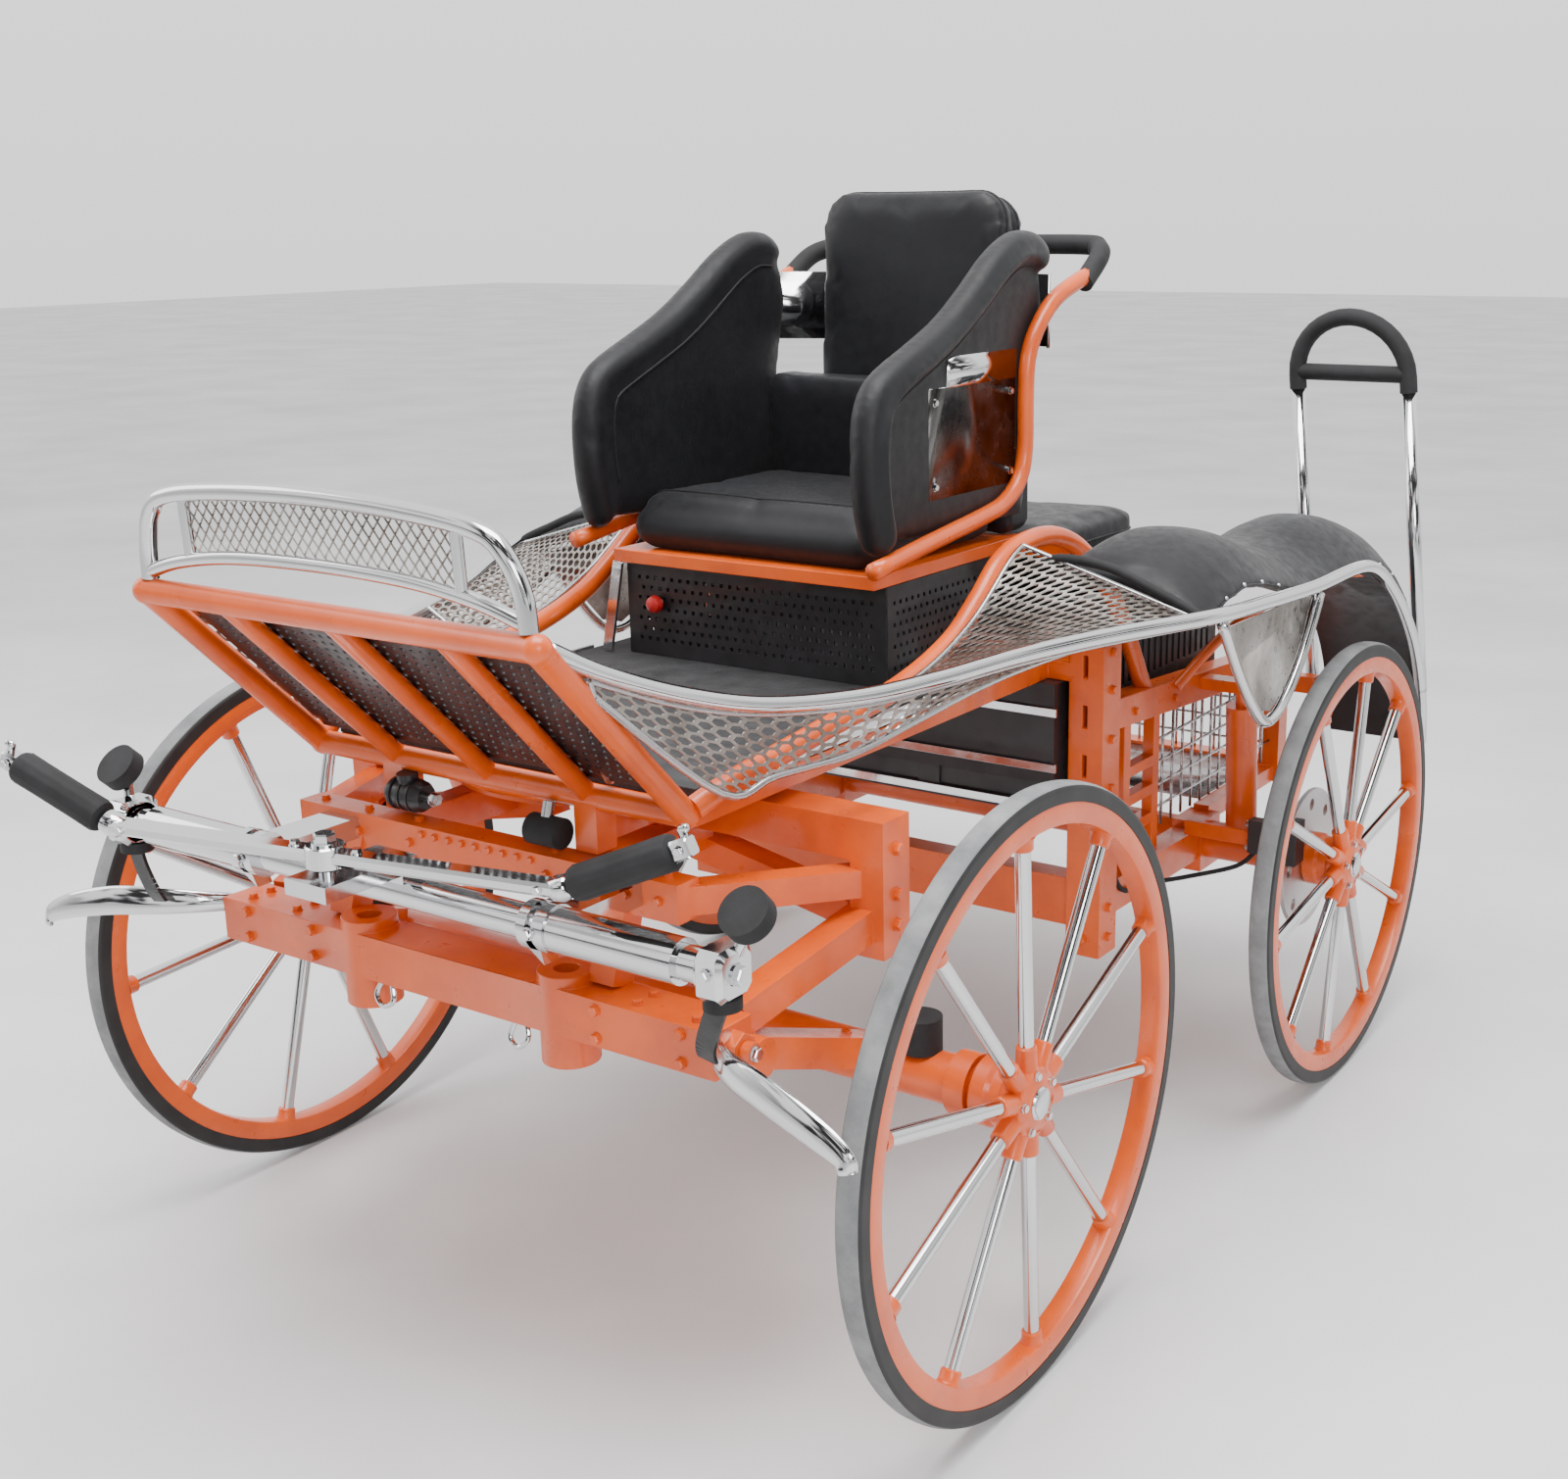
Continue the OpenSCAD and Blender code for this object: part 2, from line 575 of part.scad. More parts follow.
// Slab with rounded vertical edges and chamfered top edges
module rounded_slab(size, rad) {
    hull() for (x = [rad, size[0] - rad]) for (y = [rad, size[1] - rad]) translate([x, y, 0]) {
        cylinder(r = rad, h = size[2] - 12, $fn = 24);
        cylinder(r = rad - 12, h = size[2], $fn = 24);
    }
}

// Tall slab behind a low pad that closes the seat between the wings
back_w = 344;
back_h = 414;
back_lean = 4;
back_y = -368;
low_back_top = 1207;
module seat_back() placed() color(black) {
    translate(r(0, back_y, cushion_top + 30)) rotate([-back_lean, 0, 0]) translate([-back_w / 2, 0, 0])
        rotate([90, 0, 0]) translate([0, 0, -back_t]) rounded_slab([back_w, back_h, back_t], 36);
    box(r(-seat_w / 2, seat_rear + seat_gap, seat_low + seat_gap), r(seat_w / 2, back_y + 18, low_back_top));
}

// Side wings: a flat panel with a thick padded roll along its front and top edge
wing_x = seat_w / 2 + seat_gap;
wing_roll_x = wing_x + wing_roll_d / 2 - 3.2;
wing_edge = [[-830, 1020], [-843, 1070], [-848, 1120], [-846, 1172], [-832, 1212], [-795, 1240], [-662, 1295],
    [-582, 1340], [-510, 1386], [-450, 1411], [-405, 1411], [-384, 1398]];
wing_rear = [[-372, 1370], [-368, 1320], [-395, 1200], [-410, 1060], [-422, 1002], [-640, 1000], [-800, 1012]];
module seat_wing(side) placed() color(black) on_side(side) {
    inside_roll = [for (i = [1:len(wing_edge) - 2]) wing_edge[i]];
    translate([wing_x, rear_y, 0]) rotate([90, 0, 90]) linear_extrude(wing_t) polygon(concat(inside_roll, wing_rear));
    tube(curve([for (p = wing_edge) r(wing_roll_x, p[0], p[1])], 3), wing_roll_d, [1, 0, 0], 16);
}
module seat_wing_left() seat_wing(1);
module seat_wing_right() seat_wing(-1);

seat_rail_d = 26;
seat_rail_x = wing_x + wing_t + seat_gap + seat_rail_d / 2;
grip_half = seat_rail_x + 13;

// Polished plate on the outside of each wing, with its chrome strip
plate_x = wing_x + wing_t + seat_gap;
plate_rear = -441 - seat_rail_d / 2 - 2;
module seat_plate(side) placed() color(chrome) on_side(side) {
    box(r(plate_x, -703, 1062), r(plate_x + sheet_t, plate_rear, 1220));
    box(r(plate_x, -655, 1219), r(plate_x + sheet_t + 2, plate_rear, 1262));
    // Bracket behind the wing that holds the backrest
    strip([r(back_w / 2 + seat_gap, -310, 1312), r(wing_x + wing_t, -345, 1312), r(seat_rail_x, -372, 1312)],
        110, 5, [0, 0, 1]);
}
module seat_plate_left() seat_plate(1);
module seat_plate_right() seat_plate(-1);

// Painted tube under and behind each wing, carrying the foam-covered hoop behind the backrest
seat_rail_path = curve([r(seat_rail_x, -865, 986), r(seat_rail_x, -729, 1004), r(seat_rail_x, -561, 1024),
    r(seat_rail_x, -500, 1037), r(seat_rail_x, -458, 1066), r(seat_rail_x, -442, 1111), r(seat_rail_x, -441, 1183),
    r(seat_rail_x, -436, 1243), r(seat_rail_x + 2, -412, 1288), r(seat_rail_x + 6, -366, 1329),
    r(seat_rail_x + 11, -310, 1352), r(grip_half, -275, 1362)], 3);
module seat_rail(side) placed() color(orange) on_side(side) tube(seat_rail_path, seat_rail_d, [1, 0, 0]);
module seat_rail_left() seat_rail(1);
module seat_rail_right() seat_rail(-1);

grip_arc = [r(grip_half, -284, 1352), r(grip_half - 4, -225, 1388), r(grip_half - 22, -192, 1402),
    r(grip_half - 60, -180, 1408), r(0, -178, 1408)];
module seat_grip() placed() color(black) tube(curve(mirrored(grip_arc), 4), 32, [0, 0, 1]);

// ---------------------------------------------------------------- boxes and trim

wall = 12;
module storage_box() placed() color(black) difference() {
    box(r(-340, -465 + seat_gap, 540), r(340, -376, under_floor - 30 - seat_gap));
    for (x = [-220, 0, 220]) box(r(x - 90, -466, 560), r(x + 90, -461, 590));
}

// Chrome strips across the front of the storage box
module trim_strips() placed() color(chrome) {
    for (z = [545, 610, 700]) box(r(-346, -470, z), r(346, -465, z + 14));
    both_sides() box(f(floor_half, low_y + 40, floor_z - 14), f(floor_half + 6, 320, floor_z + 4));
}

module rear_box() placed() color(black) difference() {
    box(r(-340, -375 + seat_gap, 640), r(340, 150, 868));
    box(r(-340 + wall, -375 + wall, 640 + wall), r(340 - wall, 150 - wall, 870));
    for (y = [-350:24:120]) both_sides() box(r(336, y, 700), r(341, y + 10, 850));
}

module rear_cushion() placed() color(black)
    translate(r(-200, -205, 868 + seat_gap)) rounded_slab([400, 350, 80], 20);

rear_frame_y = 345;
module rear_frame() placed() color(orange) {
    both_sides() box(r(360, rear_frame_y - 20, 400), r(400, rear_frame_y + 20, 616));
    box(r(-400, rear_frame_y - 20, 400), r(400, rear_frame_y + 20, 440));
    box(r(-462, rear_frame_y - 15, 580), r(462, rear_frame_y + 15, 612));
    // Bottom rails of the groom's step
    both_sides() bar(r(375, 30, 415), r(375, rear_frame_y - 10, 415), 30, 30);
}

module rear_grid() placed() color(chrome) {
    step = 40;
    both_sides() {
        for (y = [-150:step:310]) rod(r(380, y, 445), r(380, y, 650 - 0.07 * y), 5);
        for (z = [480, 520, 560, 600]) rod(r(380, -166, z), r(380, rear_frame_y - 18, z), 5);
    }
    for (x = [-340:step:340]) rod(r(x, rear_frame_y, 439), r(x, rear_frame_y, 581), 5);
    for (z = [470, 510, 550]) rod(r(-360, rear_frame_y, z), r(360, rear_frame_y, z), 5);
    // Step plate
    box(r(-359, 60, 430), r(359, rear_frame_y - 20 - seat_gap, 434));
}

// ---------------------------------------------------------------- rear fenders

// Saddle-shaped top of a fender: height along Y, and its two edges
pad_top = curve([r(0, -595, 955), r(0, -505, 985), r(0, -385, 992), r(0, -255, 968), r(0, -135, 944),
    r(0, -5, 944), r(0, 125, 948), r(0, 225, 920), r(0, 300, 860), r(0, 335, 795)], 2);
function pad_ring(p, i, x_in, x_out) =
    let (n = unit(cross([1, 0, 0], tangent(pad_top, i))))
    [for (s = [-1, -0.8, -0.4, 0, 0.4, 0.8, 1]) p + [(x_in + x_out) / 2 + s * (x_out - x_in) / 2, 0, 0]
        - n * (s * s * s * s * 56)];
module pad_body(x_in, x_out, t) {
    skin([for (i = [0:len(pad_top) - 1])
        let (p = pad_top[i], n = unit(cross([1, 0, 0], tangent(pad_top, i))),
            top = pad_ring(p, i, x_in, x_out),
            low = [for (k = [len(top) - 1:-1:0]) top[k] - n * (t * (k == 0 || k == len(top) - 1 ? 0.4 : 1))])
        concat(top, low)]);
}
module fender_pad(side) placed() color(black) on_side(side) pad_body(384, 638, 40);
module fender_pad_left() fender_pad(1);
module fender_pad_right() fender_pad(-1);

// Skin over the rear wheel, from the pad's outer edge down to the tail
fender_line = curve([for (i = [4:8]) [0, rail_rear[i][1], rail_rear[i][2]]], 4);
module fender(side) placed() color(black) on_side(side)
    strip(shift(fender_line, [554, 0, 0]), 169, 4, [1, 0, 0]);
module fender_left() fender(1);
module fender_right() fender(-1);

// ---------------------------------------------------------------- grab handles

handle_y = rear_frame_y + 15 + 12.5 + seat_gap;
handle_mid = 490;
handle_lean = -0.10;
function on_handle(x, z) = r(handle_mid + x + handle_lean * (z - 1170), handle_y, z);
module handle(side) placed() color(chrome) on_side(side) both_legs();
module both_legs() {
    rod(on_handle(-103, 590), on_handle(-103, 1140.7), 25);
    rod(on_handle(103, 600), on_handle(103, 1140.7), 25);
}
module handle_left() handle(1);
module handle_right() handle(-1);

arch = [for (a = [0:15:180]) on_handle(103 * cos(a), handle_top - 118 + 103 * sin(a))];
module handle_grip(side) placed() color(black) on_side(side) {
    tube(concat([on_handle(103, 1141)], arch, [on_handle(-103, 1141)]), 31, [0, 1, 0]);
    rod(on_handle(-103, 1172), on_handle(103, 1172), 30);
}
module handle_grip_left() handle_grip(1);
module handle_grip_right() handle_grip(-1);

// ---------------------------------------------------------------- rear axle

shoulder_rear = wheel_x - hub_in - disc_t - move_gap;
module rear_axle() placed() color(orange) {
    translate(r(0, 0, rear_r)) axle_beam(shoulder_rear);
    both_sides() {
        box(r(352, -40, rear_r - 50), r(408, 40, rear_r + 40));
        // Dampers beside the frame
        color(black) rod(r(470, -10, rear_r + 20), r(470, -30, 640), 54);
        color(chrome) rod(r(470, -30, 630), r(470, -34, 672), 20);
        box(r(400, -50, 664), r(492, -14, 684));
    }
}

chassis_frame();
turntable_upper();
footboard_frame();
footboard_panels();
dash_rail();
dash_mesh();
floor_board();
side_rail_left();
side_rail_right();
side_panel_left();
side_panel_right();
body_tube_left();
body_tube_right();
seat_riser();
seat_base();
seat_cushion();
seat_back();
seat_wing_left();
seat_wing_right();
seat_plate_left();
seat_plate_right();
seat_rail_left();
seat_rail_right();
seat_grip();
storage_box();
trim_strips();
rear_box();
rear_frame();
rear_grid();
rear_cushion();
fender_left();
fender_right();
fender_pad_left();
fender_pad_right();
side_brace_left();
side_brace_right();
handle_left();
handle_right();
handle_grip_left();
handle_grip_right();
rear_axle();
brake_disc_left();
brake_disc_right();
front_axle();
front_beam();
fore_frame();
turntable_lower();
splinter_bar();
rubber_stops();
wheel_guards();
swingletree_bar();
swingletree_rollers();
wheel_front_left();
tyre_front_left();
wheel_front_right();
tyre_front_right();
wheel_rear_left();
tyre_rear_left();
wheel_rear_right();
tyre_rear_right();
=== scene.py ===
import json
import math
import bpy
import bmesh
import numpy as np
from mathutils import Matrix, Vector

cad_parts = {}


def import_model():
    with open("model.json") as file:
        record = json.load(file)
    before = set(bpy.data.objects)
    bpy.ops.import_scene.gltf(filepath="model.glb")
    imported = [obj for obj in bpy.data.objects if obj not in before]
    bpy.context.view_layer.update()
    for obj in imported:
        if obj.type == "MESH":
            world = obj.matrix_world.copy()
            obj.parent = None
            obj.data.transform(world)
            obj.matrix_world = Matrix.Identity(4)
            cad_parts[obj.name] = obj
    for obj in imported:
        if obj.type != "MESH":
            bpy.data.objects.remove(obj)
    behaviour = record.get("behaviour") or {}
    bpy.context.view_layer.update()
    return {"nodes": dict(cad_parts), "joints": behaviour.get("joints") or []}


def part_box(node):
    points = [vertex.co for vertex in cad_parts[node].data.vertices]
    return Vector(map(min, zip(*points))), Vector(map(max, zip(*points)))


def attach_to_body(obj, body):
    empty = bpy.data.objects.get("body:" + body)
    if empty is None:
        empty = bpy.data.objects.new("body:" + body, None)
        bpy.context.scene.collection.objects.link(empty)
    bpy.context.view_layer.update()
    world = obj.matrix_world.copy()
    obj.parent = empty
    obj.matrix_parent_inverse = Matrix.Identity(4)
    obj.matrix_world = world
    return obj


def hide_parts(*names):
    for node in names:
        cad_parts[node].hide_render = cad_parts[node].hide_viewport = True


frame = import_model()

# ------------------------------------------------------------------ places, from the frame

JOINTS = {joint["name"]: joint for joint in frame["joints"]}
FRONT_Y = JOINTS["steering"]["pos_m"][1]
REAR_Y = JOINTS["rear_left_spin"]["pos_m"][1]
WHEEL_X, _, FRONT_R = JOINTS["front_left_spin"]["pos_m"]
REAR_R = JOINTS["rear_left_spin"]["pos_m"][2]
PIVOT = Vector(JOINTS["swingletree_pivot"]["pos_m"])
MM = 0.001
TYRE_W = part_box("tyre_front_left")[1].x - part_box("tyre_front_left")[0].x
TYRE_H = 24 * MM
RIM_H = 28 * MM
HUB_D = 90 * MM
SPOKE_D = 20 * MM
SPOKES = 10
RAIL_D = 22 * MM
BODY = "carriage"
FORE = "undercarriage"


def front(x, y, z):
    """A point given in millimetres from the front axle's middle plane."""
    return Vector((x * MM, FRONT_Y + y * MM, z * MM))


def rear(x, y, z):
    """A point given in millimetres from the rear axle's middle plane."""
    return Vector((x * MM, REAR_Y + y * MM, z * MM))


def flipped(points):
    return [Vector((-p.x, p.y, p.z)) for p in points]


def spline(points, steps=6):
    """Smooth curve through the points."""
    out = []
    for i in range(len(points) - 1):
        a, b = points[max(i - 1, 0)], points[i]
        c, d = points[i + 1], points[min(i + 2, len(points) - 1)]
        for j in range(steps):
            t = j / steps
            out.append(0.5 * (2 * b + (c - a) * t + (2 * a - 5 * b + 4 * c - d) * t * t
                              + (3 * b - a - 3 * c + d) * t ** 3))
    return out + [points[-1].copy()]


def smooth_step(t):
    t = min(max(t, 0.0), 1.0)
    return t * t * (3 - 2 * t)


# ------------------------------------------------------------------ materials


def fill_ramp(made, stops):
    """Sets the stops of a colour ramp node, each a place and a colour."""
    ends = made.color_ramp.elements
    while len(ends) < len(stops):
        ends.new(0.5)
    for end, (at, colour) in zip(ends, stops):
        end.position = at
        end.color = (*colour, 1)
    return made


class Paint:
    """Builds one procedural material; every mix, noise and bump reads object coordinates."""

    def __init__(self, name, colour, metallic=0.0, roughness=0.4, coat=0.0, specular=0.5):
        self.mat = bpy.data.materials.new(name)
        self.mat.use_nodes = True
        self.tree = self.mat.node_tree
        self.bsdf = self.tree.nodes["Principled BSDF"]
        self.bsdf.inputs["Base Color"].default_value = (*colour, 1)
        self.bsdf.inputs["Metallic"].default_value = metallic
        self.bsdf.inputs["Roughness"].default_value = roughness
        self.bsdf.inputs["Coat Weight"].default_value = coat
        self.bsdf.inputs["Coat Roughness"].default_value = 0.06
        self.bsdf.inputs["Specular IOR Level"].default_value = specular
        self.coords = self.tree.nodes.new("ShaderNodeTexCoord").outputs["Object"]
        self.bump_out = None

    def node(self, kind, **settings):
        made = self.tree.nodes.new(kind)
        for key, value in settings.items():
            if key in made.inputs:
                made.inputs[key].default_value = value
            else:
                setattr(made, key, value)
        return made

    def link(self, a, b):
        self.tree.links.new(a, b)

    def noise(self, scale, detail=4.0, rough=0.55, stretch=None):
        made = self.node("ShaderNodeTexNoise", Scale=scale, Detail=detail, Roughness=rough)
        self.link(self.placed(stretch), made.inputs["Vector"])
        return made.outputs["Fac"]

    def placed(self, stretch):
        if stretch is None:
            return self.coords
        mapping = self.node("ShaderNodeMapping", Scale=stretch)
        self.link(self.coords, mapping.inputs["Vector"])
        return mapping.outputs["Vector"]

    def voronoi(self, scale, feature="F1", stretch=None):
        made = self.node("ShaderNodeTexVoronoi", feature=feature, Scale=scale)
        self.link(self.placed(stretch), made.inputs["Vector"])
        return made.outputs["Distance"]

    def ramp(self, value, stops):
        made = fill_ramp(self.node("ShaderNodeValToRGB"), stops)
        self.link(value, made.inputs["Fac"])
        return made.outputs["Color"]

    def vary_colour(self, value, stops):
        self.link(self.ramp(value, stops), self.bsdf.inputs["Base Color"])
        return self

    def vary_roughness(self, value, low, high):
        made = self.node("ShaderNodeMapRange")
        made.inputs["From Min"].default_value = 0.3
        made.inputs["From Max"].default_value = 0.7
        made.inputs["To Min"].default_value = low
        made.inputs["To Max"].default_value = high
        self.link(value, made.inputs["Value"])
        self.link(made.outputs["Result"], self.bsdf.inputs["Roughness"])
        return self

    def bump(self, height, strength, distance):
        made = self.node("ShaderNodeBump", Strength=strength, Distance=distance)
        self.link(height, made.inputs["Height"])
        if self.bump_out is not None:
            self.link(self.bump_out, made.inputs["Normal"])
        self.bump_out = made.outputs["Normal"]
        self.link(self.bump_out, self.bsdf.inputs["Normal"])
        return self


def orange_paint():
    p = Paint("orange_paint", (0.68, 0.092, 0.004), roughness=0.38, coat=0.2)
    cloud = p.noise(9, 5)
    p.vary_colour(cloud, [(0.30, (0.56, 0.068, 0.003)), (0.62, (0.74, 0.104, 0.005))])
    p.vary_roughness(p.noise(30, 3), 0.26, 0.42)
    p.bump(p.noise(320, 2), 0.06, 0.0004)
    return p.mat


def chrome(name="chrome", low=0.04, high=0.15, tint=(0.62, 0.625, 0.635)):
    p = Paint(name, tint, metallic=1.0, roughness=low)
    p.vary_roughness(p.noise(22, 5, 0.65), low, high)
    p.bump(p.noise(60, 3), 0.05, 0.0006)
    return p.mat


def mesh_steel():
    p = Paint("mesh_steel", (0.50, 0.47, 0.43), metallic=1.0, roughness=0.34)
    p.vary_colour(p.noise(14, 4), [(0.35, (0.25, 0.215, 0.185)), (0.65, (0.46, 0.43, 0.40))])
    p.vary_roughness(p.noise(80, 3), 0.24, 0.46)
    return p.mat


def brushed_steel():
    p = Paint("brushed_steel", (0.55, 0.55, 0.56), metallic=1.0, roughness=0.35)
    p.vary_roughness(p.noise(40, 3, 0.6, (1, 12, 12)), 0.25, 0.5)
    p.bump(p.noise(200, 2, 0.5, (1, 10, 10)), 0.08, 0.0003)
    return p.mat


def black_paint():
    p = Paint("black_paint", (0.012, 0.012, 0.014), roughness=0.42, coat=0.15)
    p.vary_colour(p.noise(12, 4), [(0.3, (0.005, 0.005, 0.006)), (0.7, (0.013, 0.013, 0.015))])
    p.vary_roughness(p.noise(45, 4), 0.34, 0.55)
    p.bump(p.noise(500, 2), 0.08, 0.0003)
    return p.mat


def floor_mat():
    p = Paint("floor_mat", (0.016, 0.016, 0.018), roughness=0.7)
    p.vary_colour(p.noise(25, 5), [(0.3, (0.010, 0.010, 0.011)), (0.75, (0.035, 0.035, 0.037))])
    p.bump(p.voronoi(220), 0.5, 0.0012)
    p.bump(p.noise(900, 2), 0.2, 0.0004)
    return p.mat


def leather():
    p = Paint("black_leather", (0.006, 0.0065, 0.008), roughness=0.5, specular=0.32)
    p.vary_colour(p.noise(7, 5), [(0.3, (0.0032, 0.0034, 0.0042)), (0.72, (0.0085, 0.009, 0.0115))])
    p.vary_roughness(p.noise(60, 4), 0.40, 0.58)
    p.bump(p.noise(36, 4), 0.10, 0.002)
    p.bump(p.voronoi(520, "DISTANCE_TO_EDGE"), 0.35, 0.0005)
    p.bsdf.inputs["Sheen Weight"].default_value = 0.04
    p.bsdf.inputs["Sheen Roughness"].default_value = 0.5
    return p.mat


def foam():
    p = Paint("black_foam", (0.014, 0.014, 0.016), roughness=0.78)
    p.vary_colour(p.noise(30, 4), [(0.3, (0.005, 0.005, 0.0055)), (0.75, (0.014, 0.014, 0.016))])
    p.bump(p.noise(700, 3), 0.5, 0.0006)
    return p.mat


def tyre_side():
    p = Paint("tyre_side", (0.012, 0.012, 0.013), roughness=0.6)
    p.vary_colour(p.noise(20, 5), [(0.35, (0.006, 0.006, 0.0065)), (0.8, (0.020, 0.0195, 0.019))])
    p.bump(p.noise(600, 3), 0.25, 0.0004)
    return p.mat


def tyre_tread():
    p = Paint("tyre_tread", (0.19, 0.195, 0.20), roughness=0.82)
    p.vary_colour(p.noise(16, 6, 0.65), [(0.3, (0.13, 0.134, 0.138)), (0.7, (0.255, 0.258, 0.262))])
    p.vary_roughness(p.noise(50, 3), 0.7, 0.92)
    p.bump(p.noise(420, 4), 0.4, 0.0006)
    return p.mat


def red_plastic():
    p = Paint("red_plastic", (0.42, 0.012, 0.012), roughness=0.35)
    p.vary_roughness(p.noise(60, 3), 0.28, 0.45)
    return p.mat


def smoked_steel():
    p = Paint("smoked_steel", (0.10, 0.10, 0.105), metallic=1.0, roughness=0.22)
    p.vary_colour(p.noise(9, 4), [(0.35, (0.045, 0.043, 0.042)), (0.7, (0.17, 0.165, 0.16))])
    p.vary_roughness(p.noise(30, 4), 0.16, 0.34)
    return p.mat


ORANGE = orange_paint()
CHROME = chrome()
SATIN = chrome("satin_steel", 0.18, 0.36, (0.46, 0.46, 0.465))
MESH = mesh_steel()
STEEL = brushed_steel()
BLACK = black_paint()
FLOOR = floor_mat()
LEATHER = leather()
FOAM = foam()
SIDEWALL = tyre_side()
TREAD = tyre_tread()
RED = red_plastic()
SMOKED = smoked_steel()

# ------------------------------------------------------------------ mesh building


def basis(axis):
    """Two directions square to the axis."""
    axis = axis.normalized()
    side = Vector((0, 0, 1)) if abs(axis.z) < 0.9 else Vector((1, 0, 0))
    a = side.cross(axis).normalized()
    return a, axis.cross(a)


def path_frames(path):
    """Tangent and two side directions at each point, carried along without twist."""
    tangents = []
    for i in range(len(path)):
        tangents.append((path[min(i + 1, len(path) - 1)] - path[max(i - 1, 0)]).normalized())
    a, _ = basis(tangents[0])
    out = []
    for t in tangents:
        a = (a - t * a.dot(t)).normalized()
        out.append((t, a, t.cross(a)))
    return out


class Build:
    """Collects vertices and faces of one piece, each face with its material."""

    def __init__(self):
        self.verts = []
        self.faces = []
        self.slots = []
        self.mats = []

    def put(self, verts, faces, mat):
        if mat not in self.mats:
            self.mats.append(mat)
        base = len(self.verts)
        self.verts += [tuple(v) for v in verts]
        self.faces += [tuple(base + i for i in face) for face in faces]
        self.slots += [self.mats.index(mat)] * len(faces)

    def rings(self, rings, mat, closed=False, caps=True):
        """Skin over rings of equal length."""
        s = len(rings[0])
        verts = [v for ring in rings for v in ring]
        m = len(rings)
        faces = []
        for i in range(m if closed else m - 1):
            for j in range(s):
                k, n = (j + 1) % s, (i + 1) % m
                faces.append((i * s + j, i * s + k, n * s + k, n * s + j))
        if caps and not closed:
            faces.append(tuple(range(s - 1, -1, -1)))
            faces.append(tuple((m - 1) * s + j for j in range(s)))
        self.put(verts, faces, mat)

    def tube(self, path, radius, mat, sides=20, round_ends=0.0):
        frames = path_frames(path)
        rings = []
        radii = radius if isinstance(radius, list) else [radius] * len(path)
        for p, (t, a, b), rad in zip(path, frames, radii):
            rings.append([p + rad * (math.cos(2 * math.pi * j / sides) * a
                                     + math.sin(2 * math.pi * j / sides) * b) for j in range(sides)])
        if round_ends:
            first, last = frames[0][0], frames[-1][0]
            for at, sign, t in ((0, -1, first), (-1, 1, last)):
                centre, ring = path[at], rings[at]
                extra = []
                for k in (0.5, 0.87, 0.98):
                    grow = math.sqrt(1 - k * k)
                    extra.append([centre + (v - centre) * grow + t * sign * k * round_ends for v in ring])
                rings = (extra[::-1] + rings) if at == 0 else (rings + extra)
        self.rings(rings, mat)

    def rod(self, a, b, radius, mat, sides=20):
        self.tube([a, b], radius, mat, sides)

    def nut(self, centre, axis, width, height, mat, sides=6, washer=True):
        axis = axis.normalized()
        if washer:
            self.rod(centre, centre + axis * height * 0.22, width * 0.66, mat, 24)
        a, b = basis(axis)
        rings = []
        for up, grow in ((0.2, 1.0), (0.85, 1.0), (1.0, 0.86)):
            rings.append([centre + axis * height * up + width * 0.577 * grow
                          * (math.cos(2 * math.pi * j / sides) * a + math.sin(2 * math.pi * j / sides) * b)
                          for j in range(sides)])
        self.rings(rings, mat)

    def block(self, low, high, mat):
        x0, y0, z0 = low
        x1, y1, z1 = high
        verts = [(x0, y0, z0), (x1, y0, z0), (x1, y1, z0), (x0, y1, z0),
                 (x0, y0, z1), (x1, y0, z1), (x1, y1, z1), (x0, y1, z1)]
        faces = [(3, 2, 1, 0), (4, 5, 6, 7), (0, 1, 5, 4), (1, 2, 6, 5), (2, 3, 7, 6), (3, 0, 4, 7)]
        self.put(verts, faces, mat)

    def lathe(self, profile, origin, axis, mat, steps=96, closed=True):
        """Turns (radius, along) points about the axis; closed profiles are rings such as tyres."""
        axis = axis.normalized()
        a, b = basis(axis)
        verts = []
        for k in range(steps):
            ang = 2 * math.pi * k / steps
            out = math.cos(ang) * a + math.sin(ang) * b
            verts += [origin + out * rad + axis * along for rad, along in profile]
        n = len(profile)
        faces = []
        for k in range(steps):
            k2 = (k + 1) % steps
            for i in range(n if closed else n - 1):
                i2 = (i + 1) % n
                faces.append((k * n + i, k * n + i2, k2 * n + i2, k2 * n + i))
        if not closed:
            faces.append(tuple(k * n for k in range(steps)))
            faces.append(tuple(k * n + n - 1 for k in range(steps - 1, -1, -1)))
        self.put(verts, faces, mat)

    def mirror(self):
        """The same piece on the other side of the carriage."""
        other = Build()
        other.verts = [(-x, y, z) for x, y, z in self.verts]
        other.faces = [tuple(reversed(face)) for face in self.faces]
        other.slots = list(self.slots)
        other.mats = list(self.mats)
        return other

    def piece(self, name, body, slot, stands_for=(), bevel=0.0, sharp=35, fix=True):
        mesh = bpy.data.meshes.new(name)
        mesh.from_pydata(self.verts, [], self.faces)
        for mat in self.mats:
            mesh.materials.append(mat)
        mesh.polygons.foreach_set("material_index", self.slots)
        obj = bpy.data.objects.new(name, mesh)
        bpy.context.scene.collection.objects.link(obj)
        soften(mesh, sharp, fix)
        if bevel:
            add_bevel(obj, bevel)
        attach(obj, body, stands_for)
        return obj


def soften(mesh, sharp, fix=True):
    """Outward faces, smooth shading, and hard edges where the surface turns sharply."""
    bm = bmesh.new()
    bm.from_mesh(mesh)
    if fix:
        bmesh.ops.recalc_face_normals(bm, faces=bm.faces)
    limit = math.radians(sharp)
    for face in bm.faces:
        face.smooth = True
    for edge in bm.edges:
        if len(edge.link_faces) == 2:
            edge.smooth = edge.calc_face_angle() < limit
        else:
            edge.smooth = False
    bm.to_mesh(mesh)
    bm.free()


